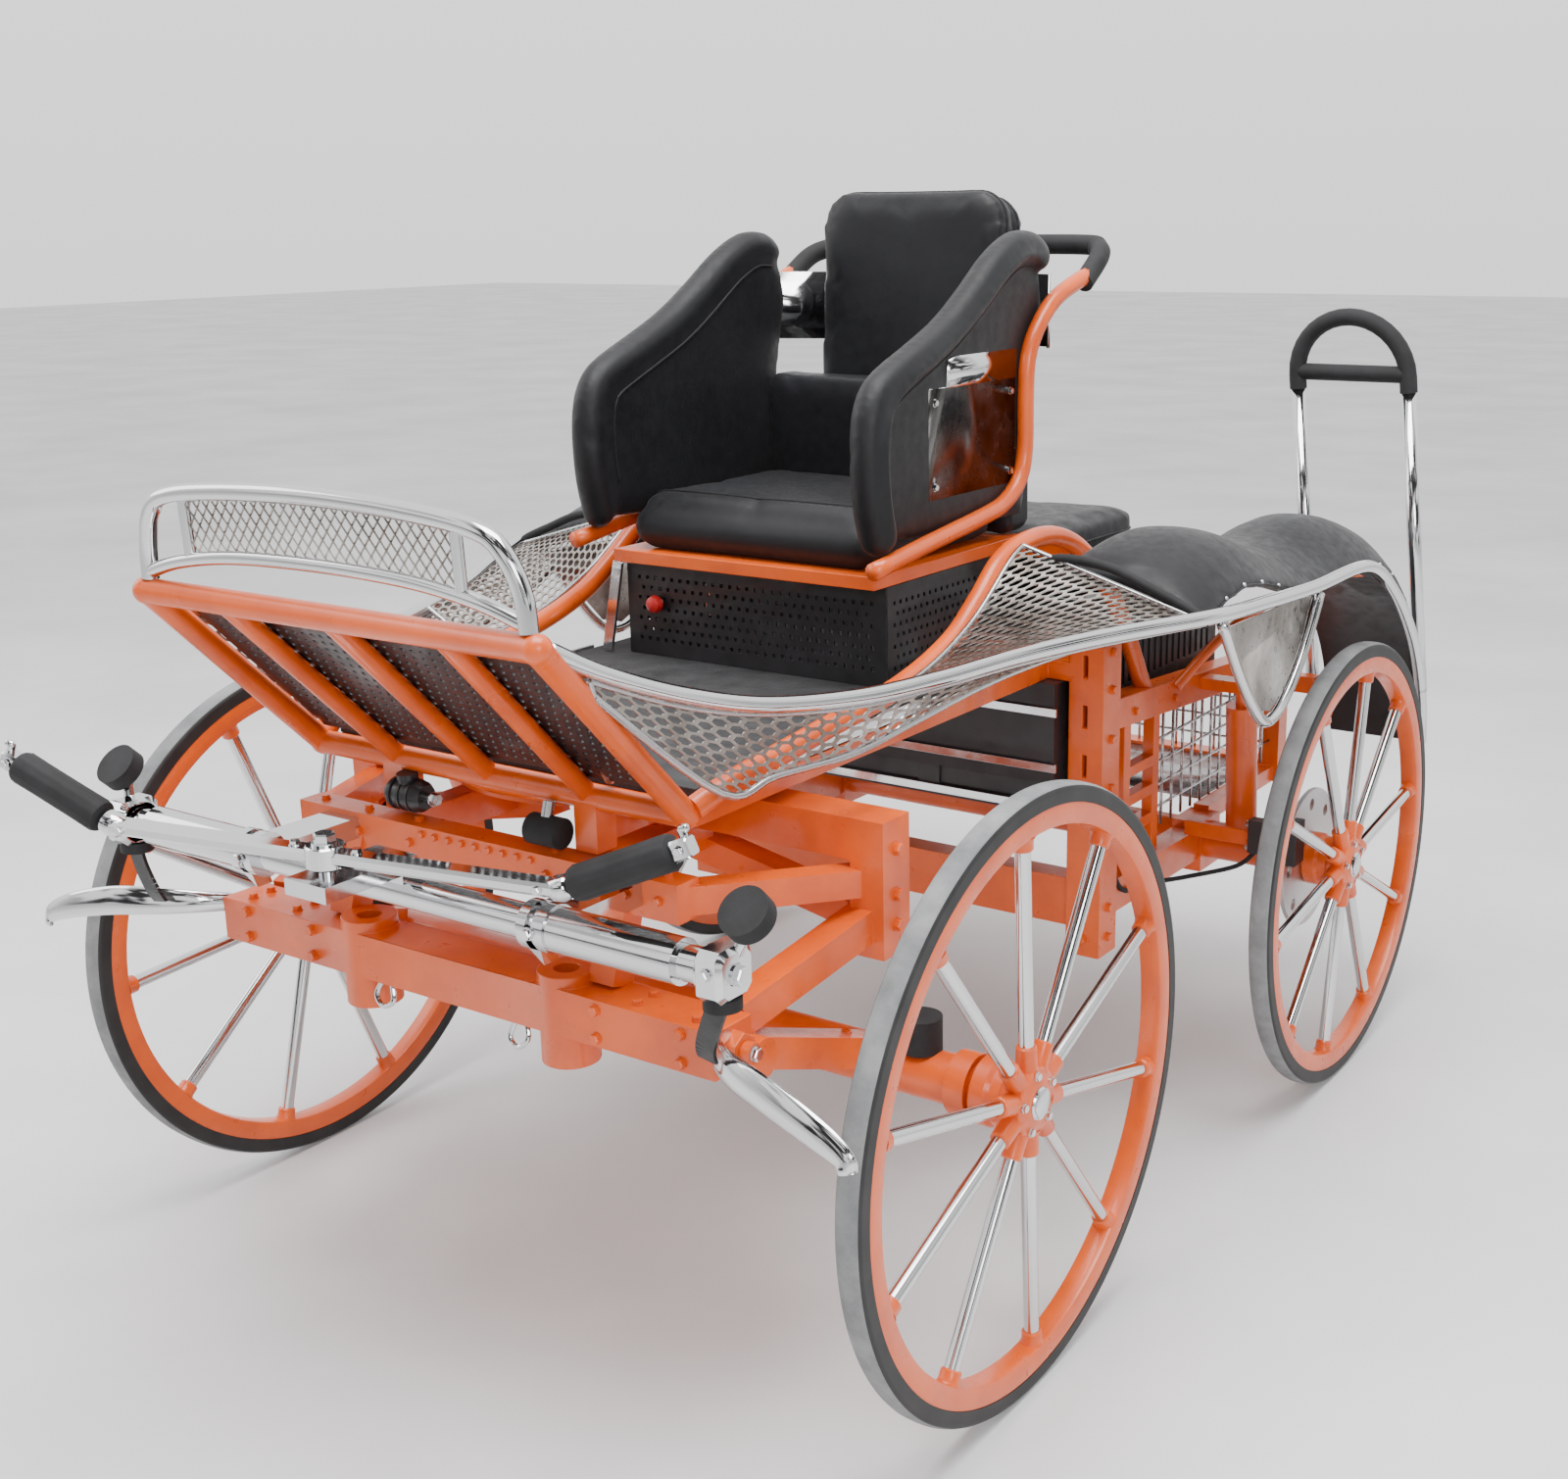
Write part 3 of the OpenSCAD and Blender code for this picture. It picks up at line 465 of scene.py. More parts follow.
def add_bevel(obj, width, segments=2):
    bevel = obj.modifiers.new("edges", "BEVEL")
    bevel.width = width
    bevel.segments = segments
    bevel.limit_method = "ANGLE"
    bevel.angle_limit = math.radians(32)
    bevel.harden_normals = True
    bevel.use_clamp_overlap = True


def attach(obj, body, stands_for=()):
    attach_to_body(obj, body)
    if stands_for:
        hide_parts(*stands_for)


def flat_ring(p, side, thick):
    """The four corners of a flat bar's section."""
    return [p - side - thick, p + side - thick, p + side + thick, p - side + thick]


def both(build, name, body, slot, stands_for=(), **options):
    """A left piece and its mirror image."""
    pair = {"left": build, "right": build.mirror()}
    for side, made in pair.items():
        nodes = [node + "_" + side for node in stands_for]
        made.piece(name + "_" + side, body, slot, nodes, **options)


# ------------------------------------------------------------------ wheels


def tyre_profile(radius, half):
    """Round-shouldered solid tyre, from its inner edge out and back."""
    inner = radius - TYRE_H
    points = [(inner, -half), (radius - 9 * MM, -half)]
    for k in range(7):
        ang = math.radians(15 * k)
        points.append((radius - 9 * MM + 7.6 * MM * math.sin(ang), -half + 7.6 * MM * (1 - math.cos(ang))))
    points += [(radius - 0.5 * MM, -half * 0.45), (radius - 0.1 * MM, 0)]
    return points + [(rad, -along) for rad, along in reversed(points[:-1])]


def wheel(tag, side, axle_y, radius, phase, body):
    centre = Vector((side * WHEEL_X, axle_y, radius))
    out = Vector((side, 0, 0))
    half = TYRE_W / 2
    profile = tyre_profile(radius, half)
    tyre = Build()
    tyre.lathe(profile, centre, out, TREAD, 160)
    tyre.mats.append(SIDEWALL)
    rows = len(profile)
    tread_low = radius - 4.5 * MM
    tyre.slots = [int(min(profile[i % rows][0] for i in face) <= tread_low) for face in tyre.faces]
    tyre.piece("tyre_" + tag, body, "tyre", ["tyre_" + tag], sharp=50)

    rim_out = radius - TYRE_H - 0.3 * MM
    rim_in = rim_out - RIM_H
    rim_half = half - 1 * MM
    rim = Build()
    corner = 5 * MM
    shape = [(rim_out, -rim_half), (rim_out, rim_half), (rim_out - 3 * MM, rim_half + 0.6 * MM),
             (rim_in + corner, rim_half), (rim_in + 1.4 * MM, rim_half - 1.4 * MM),
             (rim_in, rim_half - corner),
             (rim_in, corner - rim_half), (rim_in + 1.4 * MM, 1.4 * MM - rim_half),
             (rim_in + corner, -rim_half), (rim_out - 3 * MM, -rim_half - 0.6 * MM)]
    rim.lathe(shape, centre, out, ORANGE, 160)
    spokes = Build()
    hub = Build()
    a, b = Vector((0, 1, 0)), Vector((0, 0, 1))
    r1 = HUB_D / 2
    spoke_r = SPOKE_D / 2
    for i in range(SPOKES):
        ang = math.radians(phase + 360 / SPOKES * i)
        ray = math.cos(ang) * a + math.sin(ang) * b
        spokes.tube([centre + ray * (r1 + 10 * MM), centre + ray * (rim_in + 1 * MM)], spoke_r, CHROME, 24)
        rim.tube([centre + ray * (rim_in - 17 * MM), centre + ray * (rim_in - 15 * MM),
                  centre + ray * (rim_in - 3 * MM), centre + ray * (rim_in + 1 * MM)],
                 [spoke_r + 1.2 * MM, spoke_r + 3.2 * MM, spoke_r + 3.6 * MM, spoke_r + 6 * MM], ORANGE, 24)
        hub.tube([centre + ray * (r1 - 6 * MM), centre + ray * (r1 + 2 * MM),
                  centre + ray * (r1 + 28 * MM), centre + ray * (r1 + 30 * MM)],
                 [spoke_r + 6 * MM, spoke_r + 3.8 * MM, spoke_r + 3.4 * MM, spoke_r + 1.2 * MM], ORANGE, 24)
    rim.piece("rim_" + tag, body, "orange_paint", sharp=40)
    spokes.piece("spokes_" + tag, body, "chrome", ["wheel_" + tag])
    hub.lathe([(22 * MM, -62 * MM), (r1 - 3 * MM, -62 * MM), (r1, -59 * MM), (r1, -40 * MM),
               (r1 - 4 * MM, -34 * MM), (r1 - 4 * MM, -20 * MM), (r1, -16 * MM), (r1, 12 * MM), (r1 - 2 * MM, 14 * MM),
               (r1 - 12 * MM, 16 * MM), (r1 - 16 * MM, 18 * MM), (2 * MM, 18.4 * MM)],
              centre, out, ORANGE, 64)
    for i in range(5):
        ang = math.radians(24 + 72 * i)
        at = centre + out * 15.5 * MM + (r1 - 8 * MM) * (math.cos(ang) * a + math.sin(ang) * b)
        hub.nut(at, out, 9 * MM, 5 * MM, CHROME)
    cap_r = 20 * MM
    hub.lathe([(cap_r, 18 * MM), (cap_r + 1.5 * MM, 19 * MM), (cap_r, 21 * MM), (4 * MM, 21.6 * MM)],
              centre, out, CHROME, 48)
    hub.nut(centre + out * 15 * MM, out, 33 * MM, 9 * MM, CHROME, washer=False)
    hub.piece("hub_" + tag, body, "orange_paint", sharp=32)


for wheel_tag, wheel_side, wheel_y, wheel_radius, spoke_phase in (
        ("front_left", 1, FRONT_Y, FRONT_R, 21), ("front_right", -1, FRONT_Y, FRONT_R, 3),
        ("rear_left", 1, REAR_Y, REAR_R, 8), ("rear_right", -1, REAR_Y, REAR_R, 8)):
    wheel(wheel_tag, wheel_side, wheel_y, wheel_radius, spoke_phase, wheel_tag + "_wheel")

# ------------------------------------------------------------------ chrome and painted tubes

RAIL = spline([front(324, -452, 1019), front(335, -375, 978), front(350, -260, 932), front(380, -145, 900),
               front(420, -5, 885), front(460, 115, 888), front(505, 240, 898), rear(570, -745, 908),
               rear(650, -580, 913), rear(655, -408, 903), rear(655, -209, 893), rear(652, 45, 885),
               rear(650, 195, 815), rear(650, 315, 705), rear(650, 378, 590), rear(650, 395, 500)], 8)
rail = Build()
rail.tube(RAIL, RAIL_D / 2, CHROME, 24, round_ends=4 * MM)
both(rail, "rail", BODY, "chrome", ["side_rail"])

tube_points = [front(324, -223, 783), front(338, -160, 804), front(342, 15, 825), front(344, 195, 845),
               front(344, 325, 880), front(342, 405, 925), front(340, 475, 972), rear(340, -560, 990),
               rear(342, -470, 985), rear(348, -385, 945), rear(362, -300, 850), rear(380, -230, 698)]
body_tube = Build()
body_tube.tube(spline(tube_points, 8), 15 * MM, ORANGE, 24)
both(body_tube, "s_tube", BODY, "orange_paint", ["body_tube"])

TOP_Y, TOP_Z, DASH = -469, 1024, 314


def mirrored(points):
    return points + flipped(points[:-1])[::-1]


dash = Build()
dash_top = [front(DASH, TOP_Y, TOP_Z + 16.6), front(DASH - 4, TOP_Y - 1, TOP_Z + 56),
            front(DASH - 22, TOP_Y - 6, TOP_Z + 98), front(DASH - 58, TOP_Y - 9, TOP_Z + 122),
            front(DASH - 160, TOP_Y - 10, TOP_Z + 134), front(0, TOP_Y - 10, TOP_Z + 139)]
dash_low = [front(DASH - 6, TOP_Y - 1, TOP_Z + 26), front(DASH - 70, TOP_Y - 4, TOP_Z + 44),
            front(DASH - 170, TOP_Y - 5, TOP_Z + 57), front(0, TOP_Y - 5, TOP_Z + 61)]
dash.tube(spline(mirrored(dash_top), 8), RAIL_D / 2, CHROME, 24)
dash.tube(spline(mirrored(dash_low), 8), RAIL_D / 2 - 2 * MM, CHROME, 24)
for sign in (1, -1):
    dash.rod(front(sign * 225, TOP_Y - 5, TOP_Z + 50), front(sign * 225, TOP_Y - 9, TOP_Z + 128),
             7 * MM, CHROME)
dash.piece("dash_hoop", BODY, "chrome", ["dash_rail"])

# ------------------------------------------------------------------ frame nodes kept from the CAD model


def finish_node(name, mat, bevel=1.5 * MM):
    """A CAD node whose shape is right: material, joined vertices, softened edges."""
    obj = frame["nodes"][name]
    obj.data.materials.clear()
    obj.data.materials.append(mat)
    obj.data.polygons.foreach_set("material_index", [0] * len(obj.data.polygons))
    if "custom_normal" in obj.data.attributes:
        obj.data.attributes.remove(obj.data.attributes["custom_normal"])
    obj.data.polygons.foreach_set("use_smooth", [True] * len(obj.data.polygons))
    weld = obj.modifiers.new("weld", "WELD")
    weld.merge_threshold = 0.00002
    if bevel:
        add_bevel(obj, bevel)


for node in ("chassis_frame", "footboard_frame", "rear_frame", "rear_axle", "front_axle", "front_beam",
             "fore_frame", "turntable_lower", "seat_base"):
    finish_node(node, ORANGE)
for node in ("splinter_bar", "trim_strips"):
    finish_node(node, CHROME, 1.0 * MM)
for node in ("turntable_upper", "brake_disc_left", "brake_disc_right"):
    finish_node(node, STEEL, 0.8 * MM)
for node in ("storage_box", "rear_box", "fender_left", "fender_right"):
    finish_node(node, BLACK, 1.0 * MM)
finish_node("floor_board", FLOOR, 2 * MM)
finish_node("rear_grid", SATIN, 0)
for node in ("side_brace_left", "side_brace_right", "seat_plate_left", "seat_plate_right", "handle_left",
             "handle_right"):
    finish_node(node, CHROME, 0)


def paint_faces(name, mat, chosen):
    """Gives the chosen faces of a kept node a second material; chosen reads a face's middle and normal."""
    obj = frame["nodes"][name]
    obj.data.materials.append(mat)
    slot = len(obj.data.materials) - 1
    for face in obj.data.polygons:
        if chosen(obj.matrix_world @ face.center, face.normal):
            face.material_index = slot


def flat_sideways(middle, normal):
    return abs(normal.x) > 0.999


for plate_side in ("left", "right"):
    paint_faces("side_brace_" + plate_side, MESH, flat_sideways)
    paint_faces("seat_plate_" + plate_side, SMOKED, lambda middle, normal: middle.z < 1.2195)
for node in ("seat_rail_left", "seat_rail_right"):
    finish_node(node, ORANGE, 0)
finish_node("rubber_stops", FOAM, 2.5 * MM)

# ------------------------------------------------------------------ mesh and perforated panels


class Ruled:
    """Surface between two edges, read by the distance along the first and across."""

    def __init__(self, edge_a, edge_b):
        self.a = np.array([tuple(p) for p in edge_a])
        self.b = np.array([tuple(p) for p in edge_b])
        steps = np.linalg.norm(np.diff(self.a, axis=0), axis=1)
        self.along = np.concatenate([[0], np.cumsum(steps)])
        self.length = self.along[-1]
        self.widths = np.linalg.norm(self.b - self.a, axis=1)

    def width(self, s):
        return float(np.interp(s, self.along, self.widths))

    def at(self, s, d):
        s = min(max(s, 0), self.length)
        a = np.array([np.interp(s, self.along, self.a[:, k]) for k in range(3)])
        b = np.array([np.interp(s, self.along, self.b[:, k]) for k in range(3)])
        t = min(max(d / max(self.width(s), 1e-6), 0), 1)
        return Vector(a * (1 - t) + b * t)


def expanded_metal(build, surface, mat, reach=17 * MM, flat=8 * MM, high=7.5 * MM, hole=0.74):
    """Long hexagonal cells, pointed along the sheet, each with its opening."""
    corners = [(reach, 0), (flat, high), (-flat, high), (-reach, 0), (-flat, -high), (flat, -high)]
    column = reach + flat
    for i in range(int(surface.length / column) + 2):
        s = i * column
        wide = surface.width(min(s, surface.length))
        for j in range(-1, int(wide / (2 * high)) + 2):
            d = (2 * j + i % 2) * high
            if d - high > wide:
                continue
            outer = [surface.at(s + u, d + v) for u, v in corners]
            inner = [surface.at(s + u * hole, d + v * hole) for u, v in corners]
            faces = [(k, (k + 1) % 6, 6 + (k + 1) % 6, 6 + k) for k in range(6)]
            build.put(outer + inner, faces, mat)


def perforated(build, at, size, mat, pitch=17 * MM, hole=7 * MM, margin=10 * MM):
    """Plate of the given size with rows of square holes, every other row shifted by half a pitch."""
    wide, high = size
    rows = int((high - 2 * margin) / pitch)
    v0 = (high - rows * pitch) / 2

    def face(u0, u1, v_low, v_high):
        build.put([at(u0, v_low), at(u1, v_low), at(u1, v_high), at(u0, v_high)], [(0, 1, 2, 3)], mat)

    face(0, wide, 0, v0)
    face(0, wide, high - v0, high)
    for j in range(rows):
        low, top = v0 + j * pitch, v0 + (j + 1) * pitch
        mid = (low + top) / 2
        count = int((wide - 2 * margin) / pitch) - j % 2
        u0 = (wide - count * pitch) / 2
        face(0, u0, low, top)
        face(wide - u0, wide, low, top)
        for i in range(count):
            left = u0 + i * pitch
            centre = left + pitch / 2
            ring = [(left, low), (left + pitch, low), (left + pitch, top), (left, top)]
            half = hole / 2
            cut = [(centre - half, mid - half), (centre + half, mid - half), (centre + half, mid + half),
                   (centre - half, mid + half)]
            build.put([at(*p) for p in ring + cut],
                      [(k, (k + 1) % 4, 4 + (k + 1) % 4, 4 + k) for k in range(4)], mat)


def thicken(obj, thickness):
    solid = obj.modifiers.new("thickness", "SOLIDIFY")
    solid.thickness = thickness
    solid.offset = 0


def clean(obj, distance=0.0002):
    """Joins the cells of a pierced sheet and drops faces that a border has flattened."""
    bm = bmesh.new()
    bm.from_mesh(obj.data)
    bmesh.ops.remove_doubles(bm, verts=bm.verts, dist=distance)
    bmesh.ops.dissolve_degenerate(bm, edges=bm.edges, dist=distance)
    bmesh.ops.recalc_face_normals(bm, faces=bm.faces)
    bm.to_mesh(obj.data)
    bm.free()


def side_panel(side):
    turn = (lambda points: points) if side == "left" else flipped
    panel_top = spline([front(332, -400, 976), front(346, -262, 919), front(376, -145, 888), front(415, -5, 872),
                        front(455, 115, 875), front(500, 240, 885), rear(562, -745, 895), rear(636, -590, 901)])
    panel_low = spline([front(334, -396, 958), front(360, -215, 806), front(378, -130, 808), front(405, -5, 810),
                        front(424, 115, 828), front(448, 240, 850), rear(484, -745, 868), rear(560, -590, 893)])
    shoulder_out = spline([front(446, 100, 889), front(492, 240, 899), rear(557, -745, 909), rear(614, -640, 912),
                           rear(634, -604, 913)])
    shoulder_in = spline([front(361, 100, 842), front(361, 240, 862), rear(361, -745, 909), rear(359, -640, 975),
                          rear(360, -604, 992)])
    net = Build()
    expanded_metal(net, Ruled(turn(panel_top), turn(panel_low)), MESH)
    expanded_metal(net, Ruled(turn(shoulder_out), turn(shoulder_in)), MESH, 15 * MM, 7 * MM, 6.5 * MM)
    sheet = net.piece("mesh_panel_" + side, BODY, "steel_mesh", ["side_panel_" + side], fix=False)
    clean(sheet)
    thicken(sheet, 2.0 * MM)
    rims = Build()
    for edge, radius in ((panel_low, 5 * MM), (shoulder_in, 4 * MM), (panel_top, 3.5 * MM)):
        rims.tube(turn(edge), radius, SATIN, 12)
    for a, b in ((panel_top[0], panel_low[0]), (panel_top[-1], panel_low[-1]), (shoulder_out[0], shoulder_in[0]),
                 (shoulder_out[-1], shoulder_in[-1])):
        rims.tube(turn([a, b]), 4 * MM, SATIN, 12)
    rims.piece("mesh_border_" + side, BODY, "steel_mesh")


for panel_side in ("left", "right"):
    side_panel(panel_side)


def dash_panel():
    """Diagonal wires between the two hoops above the footboard, crossing over one another."""
    half = 222

    def place(x, t, lift=0.0):
        top, low = TOP_Z + 137 - 13 * (x / 225) ** 2, TOP_Z + 62 - 14 * (x / 225) ** 2
        return front(x, TOP_Y - 5 - 5 * t + lift, low + (top - low) * t)

    wires = Build()
    run = 62
    for sign in (1, -1):
        x = -half - run
        while x < half + run:
            t0 = max(0.0, (-half - x) / run if sign > 0 else (x - half) / run)
            t1 = min(1.0, (half - x) / run if sign > 0 else (x + half) / run)
            if t1 - t0 > 0.05:
                steps = [t0 + (t1 - t0) * k / 6 for k in range(7)]
                path = [place(x + sign * run * t, t, 0.9 * sign) for t in steps]
                wires.tube(path, 1.15 * MM, MESH, 8)
            x += 17
    wires.tube([place(-half + 2 * half * i / 20, 0.02) for i in range(21)], 2.5 * MM, SATIN, 10)
    wires.piece("dash_wires", BODY, "steel_mesh", ["dash_mesh"])


dash_panel()


def footboard_plates():
    low, top = front(0, -227, 775), front(0, TOP_Y, TOP_Z)
    slope = (top - low).normalized()
    out = Vector((0, slope.z, -slope.y))
    base = low + out * 14.8 * MM + slope * 24 * MM
    length = (top - low).length - 48 * MM
    half = 304 * MM
    plate = Build()
    perforated(plate, lambda u, v: base + Vector((u - half, 0, 0)) + slope * v, (2 * half, length), BLACK,
               15.5 * MM, 6.5 * MM)
    sheet = plate.piece("footboard_plate", BODY, "black_paint", ["footboard_panels"], fix=False)
    clean(sheet)
    thicken(sheet, 3 * MM)


footboard_plates()


def riser_plates():
    half, low, top, back = 240, 800.5, 948, -783.5
    plate = Build()
    corner = rear(-half, back, low)
    perforated(plate, lambda u, v: corner + Vector((u, 0, v)), (2 * half * MM, (top - low) * MM), BLACK,
               16 * MM, 6 * MM)
    for sign in (1, -1):
        foot = rear(sign * (half - 1.5), back, low)
        perforated(plate, lambda u, v, foot=foot: foot + Vector((0, u, v)), (313 * MM, (top - low) * MM),
                   BLACK, 16 * MM, 6 * MM)
    sheet = plate.piece("riser_plate", BODY, "black_paint", ["seat_riser"], fix=False)
    clean(sheet)
    thicken(sheet, 3 * MM)


riser_plates()

# ------------------------------------------------------------------ soft goods


def ring_outline(points, steps=5):
    """Smooth closed outline through the points."""
    n = len(points)
    out = []
    for i in range(n):
        a, b, c, d = (points[(i + k - 1) % n] for k in range(4))
        for j in range(steps):
            t = j / steps
            out.append(0.5 * (2 * b + (c - a) * t + (2 * a - 5 * b + 4 * c - d) * t * t
                              + (3 * b - a - 3 * c + d) * t ** 3))
    return out


def rounded_outline(wide, high, radius, steps=6):
    """Corner points of a rounded rectangle about its middle, as pairs."""
    out = []
    for cx, cy, start in ((1, 1, 0), (-1, 1, 90), (-1, -1, 180), (1, -1, 270)):
        for k in range(steps + 1):
            ang = math.radians(start + 90 * k / steps)
            out.append((cx * (wide / 2 - radius) + radius * math.cos(ang),
                        cy * (high / 2 - radius) + radius * math.sin(ang)))
    return out


def baked(obj):
    """The object's mesh with its modifiers applied."""
    deps = bpy.context.evaluated_depsgraph_get()
    mesh = bpy.data.meshes.new_from_object(obj.evaluated_get(deps))
    obj.modifiers.clear()
    obj.data = mesh


def coordinates(mesh):
    out = np.empty(len(mesh.vertices) * 3)
    mesh.vertices.foreach_get("co", out)
    return out.reshape(-1, 3)


def relax(mesh, times, strength=0.5):
    """Evens the surface by moving each vertex towards its neighbours' middle."""
    edges = np.empty(len(mesh.edges) * 2, dtype=int)
    mesh.edges.foreach_get("vertices", edges)
    edges = edges.reshape(-1, 2)
    co = coordinates(mesh)
    count = np.zeros(len(co))
    np.add.at(count, edges.ravel(), 1)
    for _ in range(times):
        total = np.zeros_like(co)
        np.add.at(total, edges[:, 0], co[edges[:, 1]])
        np.add.at(total, edges[:, 1], co[edges[:, 0]])
        co += strength * (total / count[:, None] - co)
    mesh.vertices.foreach_set("co", co.ravel())


def swell(obj, voxel=7 * MM, pressure=4.0, cap=9 * MM, limits=None):
    """Fills a pad by cloth simulation: pressure from inside, no gravity, movement capped."""
    remesh = obj.modifiers.new("even", "REMESH")
    remesh.mode = "VOXEL"
    remesh.voxel_size = voxel
    baked(obj)
    relax(obj.data, 3)
    rest = coordinates(obj.data)
    cloth = obj.modifiers.new("cloth", "CLOTH")
    cloth.settings.quality = 5
    cloth.settings.mass = 0.25
    cloth.settings.tension_stiffness = 6
    cloth.settings.compression_stiffness = 6
    cloth.settings.shear_stiffness = 3
    cloth.settings.bending_stiffness = 0.3
    cloth.settings.use_pressure = True
    cloth.settings.uniform_pressure_force = pressure
    cloth.settings.effector_weights.gravity = 0
    cloth.collision_settings.use_collision = False
    cloth.point_cache.frame_start = 1
    cloth.point_cache.frame_end = 20
    scene = bpy.context.scene
    for tick in range(1, 21):
        scene.frame_set(tick)
    deps = bpy.context.evaluated_depsgraph_get()
    moved = obj.evaluated_get(deps).to_mesh()
    swollen = coordinates(moved)
    obj.evaluated_get(deps).to_mesh_clear()
    obj.modifiers.remove(cloth)
    scene.frame_set(1)
    shift = swollen - rest
    size = np.linalg.norm(shift, axis=1, keepdims=True)
    rest = rest + shift * np.minimum(1, cap / np.maximum(size, 1e-9))
    if limits:
        low, high = limits
        rest = np.clip(rest, np.array(low), np.array(high))
    obj.data.vertices.foreach_set("co", rest.ravel())
    relax(obj.data, 1, 0.3)
    for face in obj.data.polygons:
        face.use_smooth = True
    fine = obj.modifiers.new("fine", "SUBSURF")
    fine.levels = 1
    fine.render_levels = 1
    baked(obj)


def mirrored_copy(obj, name):
    """The same pad on the other side."""
    bm = bmesh.new()
    bm.from_mesh(obj.data)
    bmesh.ops.scale(bm, vec=(-1, 1, 1), verts=bm.verts)
    bmesh.ops.reverse_faces(bm, faces=bm.faces)
    mesh = bpy.data.meshes.new(name)
    bm.to_mesh(mesh)
    bm.free()
    for face in mesh.polygons:
        face.use_smooth = True
    mesh.materials.clear()
    for mat in obj.data.materials:
        mesh.materials.append(mat)
    other = bpy.data.objects.new(name, mesh)
    bpy.context.scene.collection.objects.link(other)
    return other


def loose(build, name):
    """An object from the collected faces, not yet placed on a body."""
    mesh = bpy.data.meshes.new(name)
    mesh.from_pydata(build.verts, [], build.faces)
    for mat in build.mats:
        mesh.materials.append(mat)
    obj = bpy.data.objects.new(name, mesh)
    bpy.context.scene.collection.objects.link(obj)
    soften(mesh, 60)
    return obj


def prism(build, outline, depth, mat):
    """Closed outline pushed along the depth vector."""
    build.rings([outline, [p + depth for p in outline]], mat)


def upholster(obj, node=None):
    attach(obj, BODY, [node] if node else [])


def on_surface(obj, points, lift=0.0):
    """The points moved to the nearest place on the pad, a little above it."""
    out = []
    for p in points:
        hit, place, normal, _ = obj.closest_point_on_mesh(p)
        out.append(place + normal * lift if hit else p)
    return out


def seam(obj, points, radius=2.0 * MM, lift=0.4 * MM, closed=False):
    """Sewn piping that follows the pad's surface through the points."""
    dense = ring_outline(points, 8) if closed else spline(points, 8)
    path = on_surface(obj, dense + ([dense[0]] if closed else []), lift)
    piping = Build()
    piping.tube(path, radius, LEATHER, 8)
    return piping


WING_X = 230.3
PANEL_T = 28
ROLL_D = 54
WING_EDGE = [(-830, 1020), (-843, 1070), (-848, 1120), (-846, 1172), (-832, 1212), (-795, 1240), (-662, 1295),
             (-582, 1340), (-510, 1386), (-450, 1411), (-405, 1411), (-384, 1398)]
WING_REAR = [(-364, 1364), (-358, 1320), (-384, 1200), (-400, 1060), (-412, 1002), (-640, 1000), (-800, 1012)]


def wing():
    """Flat panel with a thick roll along its front and top edge, mirrored for the other side."""
    body = Build()
    prism(body, [rear(WING_X + 2, y, z) for y, z in WING_EDGE + WING_REAR], Vector(((PANEL_T - 4) * MM, 0, 0)),
          LEATHER)
    roll_x = WING_X + ROLL_D / 2 - 2
    path = spline([rear(roll_x, y, z) for y, z in WING_EDGE], 4)
    body.tube(path, (ROLL_D / 2 - 1) * MM, LEATHER, 24, round_ends=20 * MM)
    pad = loose(body, "wing_pad_left")
    swell(pad, 6 * MM, 4.0, 5 * MM)
    stitched = []
    for x, inset in ((WING_X, 33), (WING_X + PANEL_T, 31)):
        line = []
        path = spline([rear(x, y, z) for y, z in WING_EDGE[1:-1]], 4)
        for p, (t, _, _) in zip(path, path_frames(path)):
            line.append(p + Vector((0, t.z, -t.y)) * inset * MM)
        stitched.append(seam(pad, line[::2]))
    other = mirrored_copy(pad, "wing_pad_right")
    for obj, side in ((pad, "left"), (other, "right")):
        upholster(obj, "seat_wing_" + side)
        for k, piping in enumerate(stitched):
            made = piping if side == "left" else piping.mirror()
            made.piece(f"wing_seam_{k}_{side}", BODY, "black_leather")


BACK_LEAN = math.radians(4)


def back_at(x, depth, up):
    return rear(x, -368 + depth * math.cos(BACK_LEAN) + up * math.sin(BACK_LEAN),
                1088 - depth * math.sin(BACK_LEAN) + up * math.cos(BACK_LEAN))


def backrest():
    """Tall pad, a second one behind it, and the low pad that closes the seat between the wings."""
    for name, size, depth, thick, centre, cap, node in (
            ("back_pad", (350, 414), 2, 44, 208, 9, "seat_back"),
            ("back_pad_rear", (342, 398), 48, 32, 207, 6, None)):
        outline = rounded_outline(*size, 52)
        body = Build()
        prism(body, [back_at(x, depth, centre + z) for x, z in outline],
              back_at(0, depth + thick, centre) - back_at(0, depth, centre), LEATHER)
        pad = loose(body, name)
        swell(pad, 7 * MM, 4.0, cap * MM)
        upholster(pad, node)
        ring = [back_at(x, depth + thick / 2, centre + z) for x, z in outline]
        seam(pad, ring, 2.2 * MM, 0.3 * MM, True).piece(name + "_seam", BODY, "black_leather")
    low = Build()
    outline = [rear(x, -392, 1088 + z) for x, z in rounded_outline(482, 244, 24)]
    prism(low, [p - Vector((0, 28, 0)) * MM for p in outline], Vector((0, 62 * MM, 0)), LEATHER)
    pad = loose(low, "low_back_pad")
    swell(pad, 8 * MM, 4.0, 6 * MM, ((-0.233, -9, 968.6 * MM), (0.233, 9, 9)))
    upholster(pad)


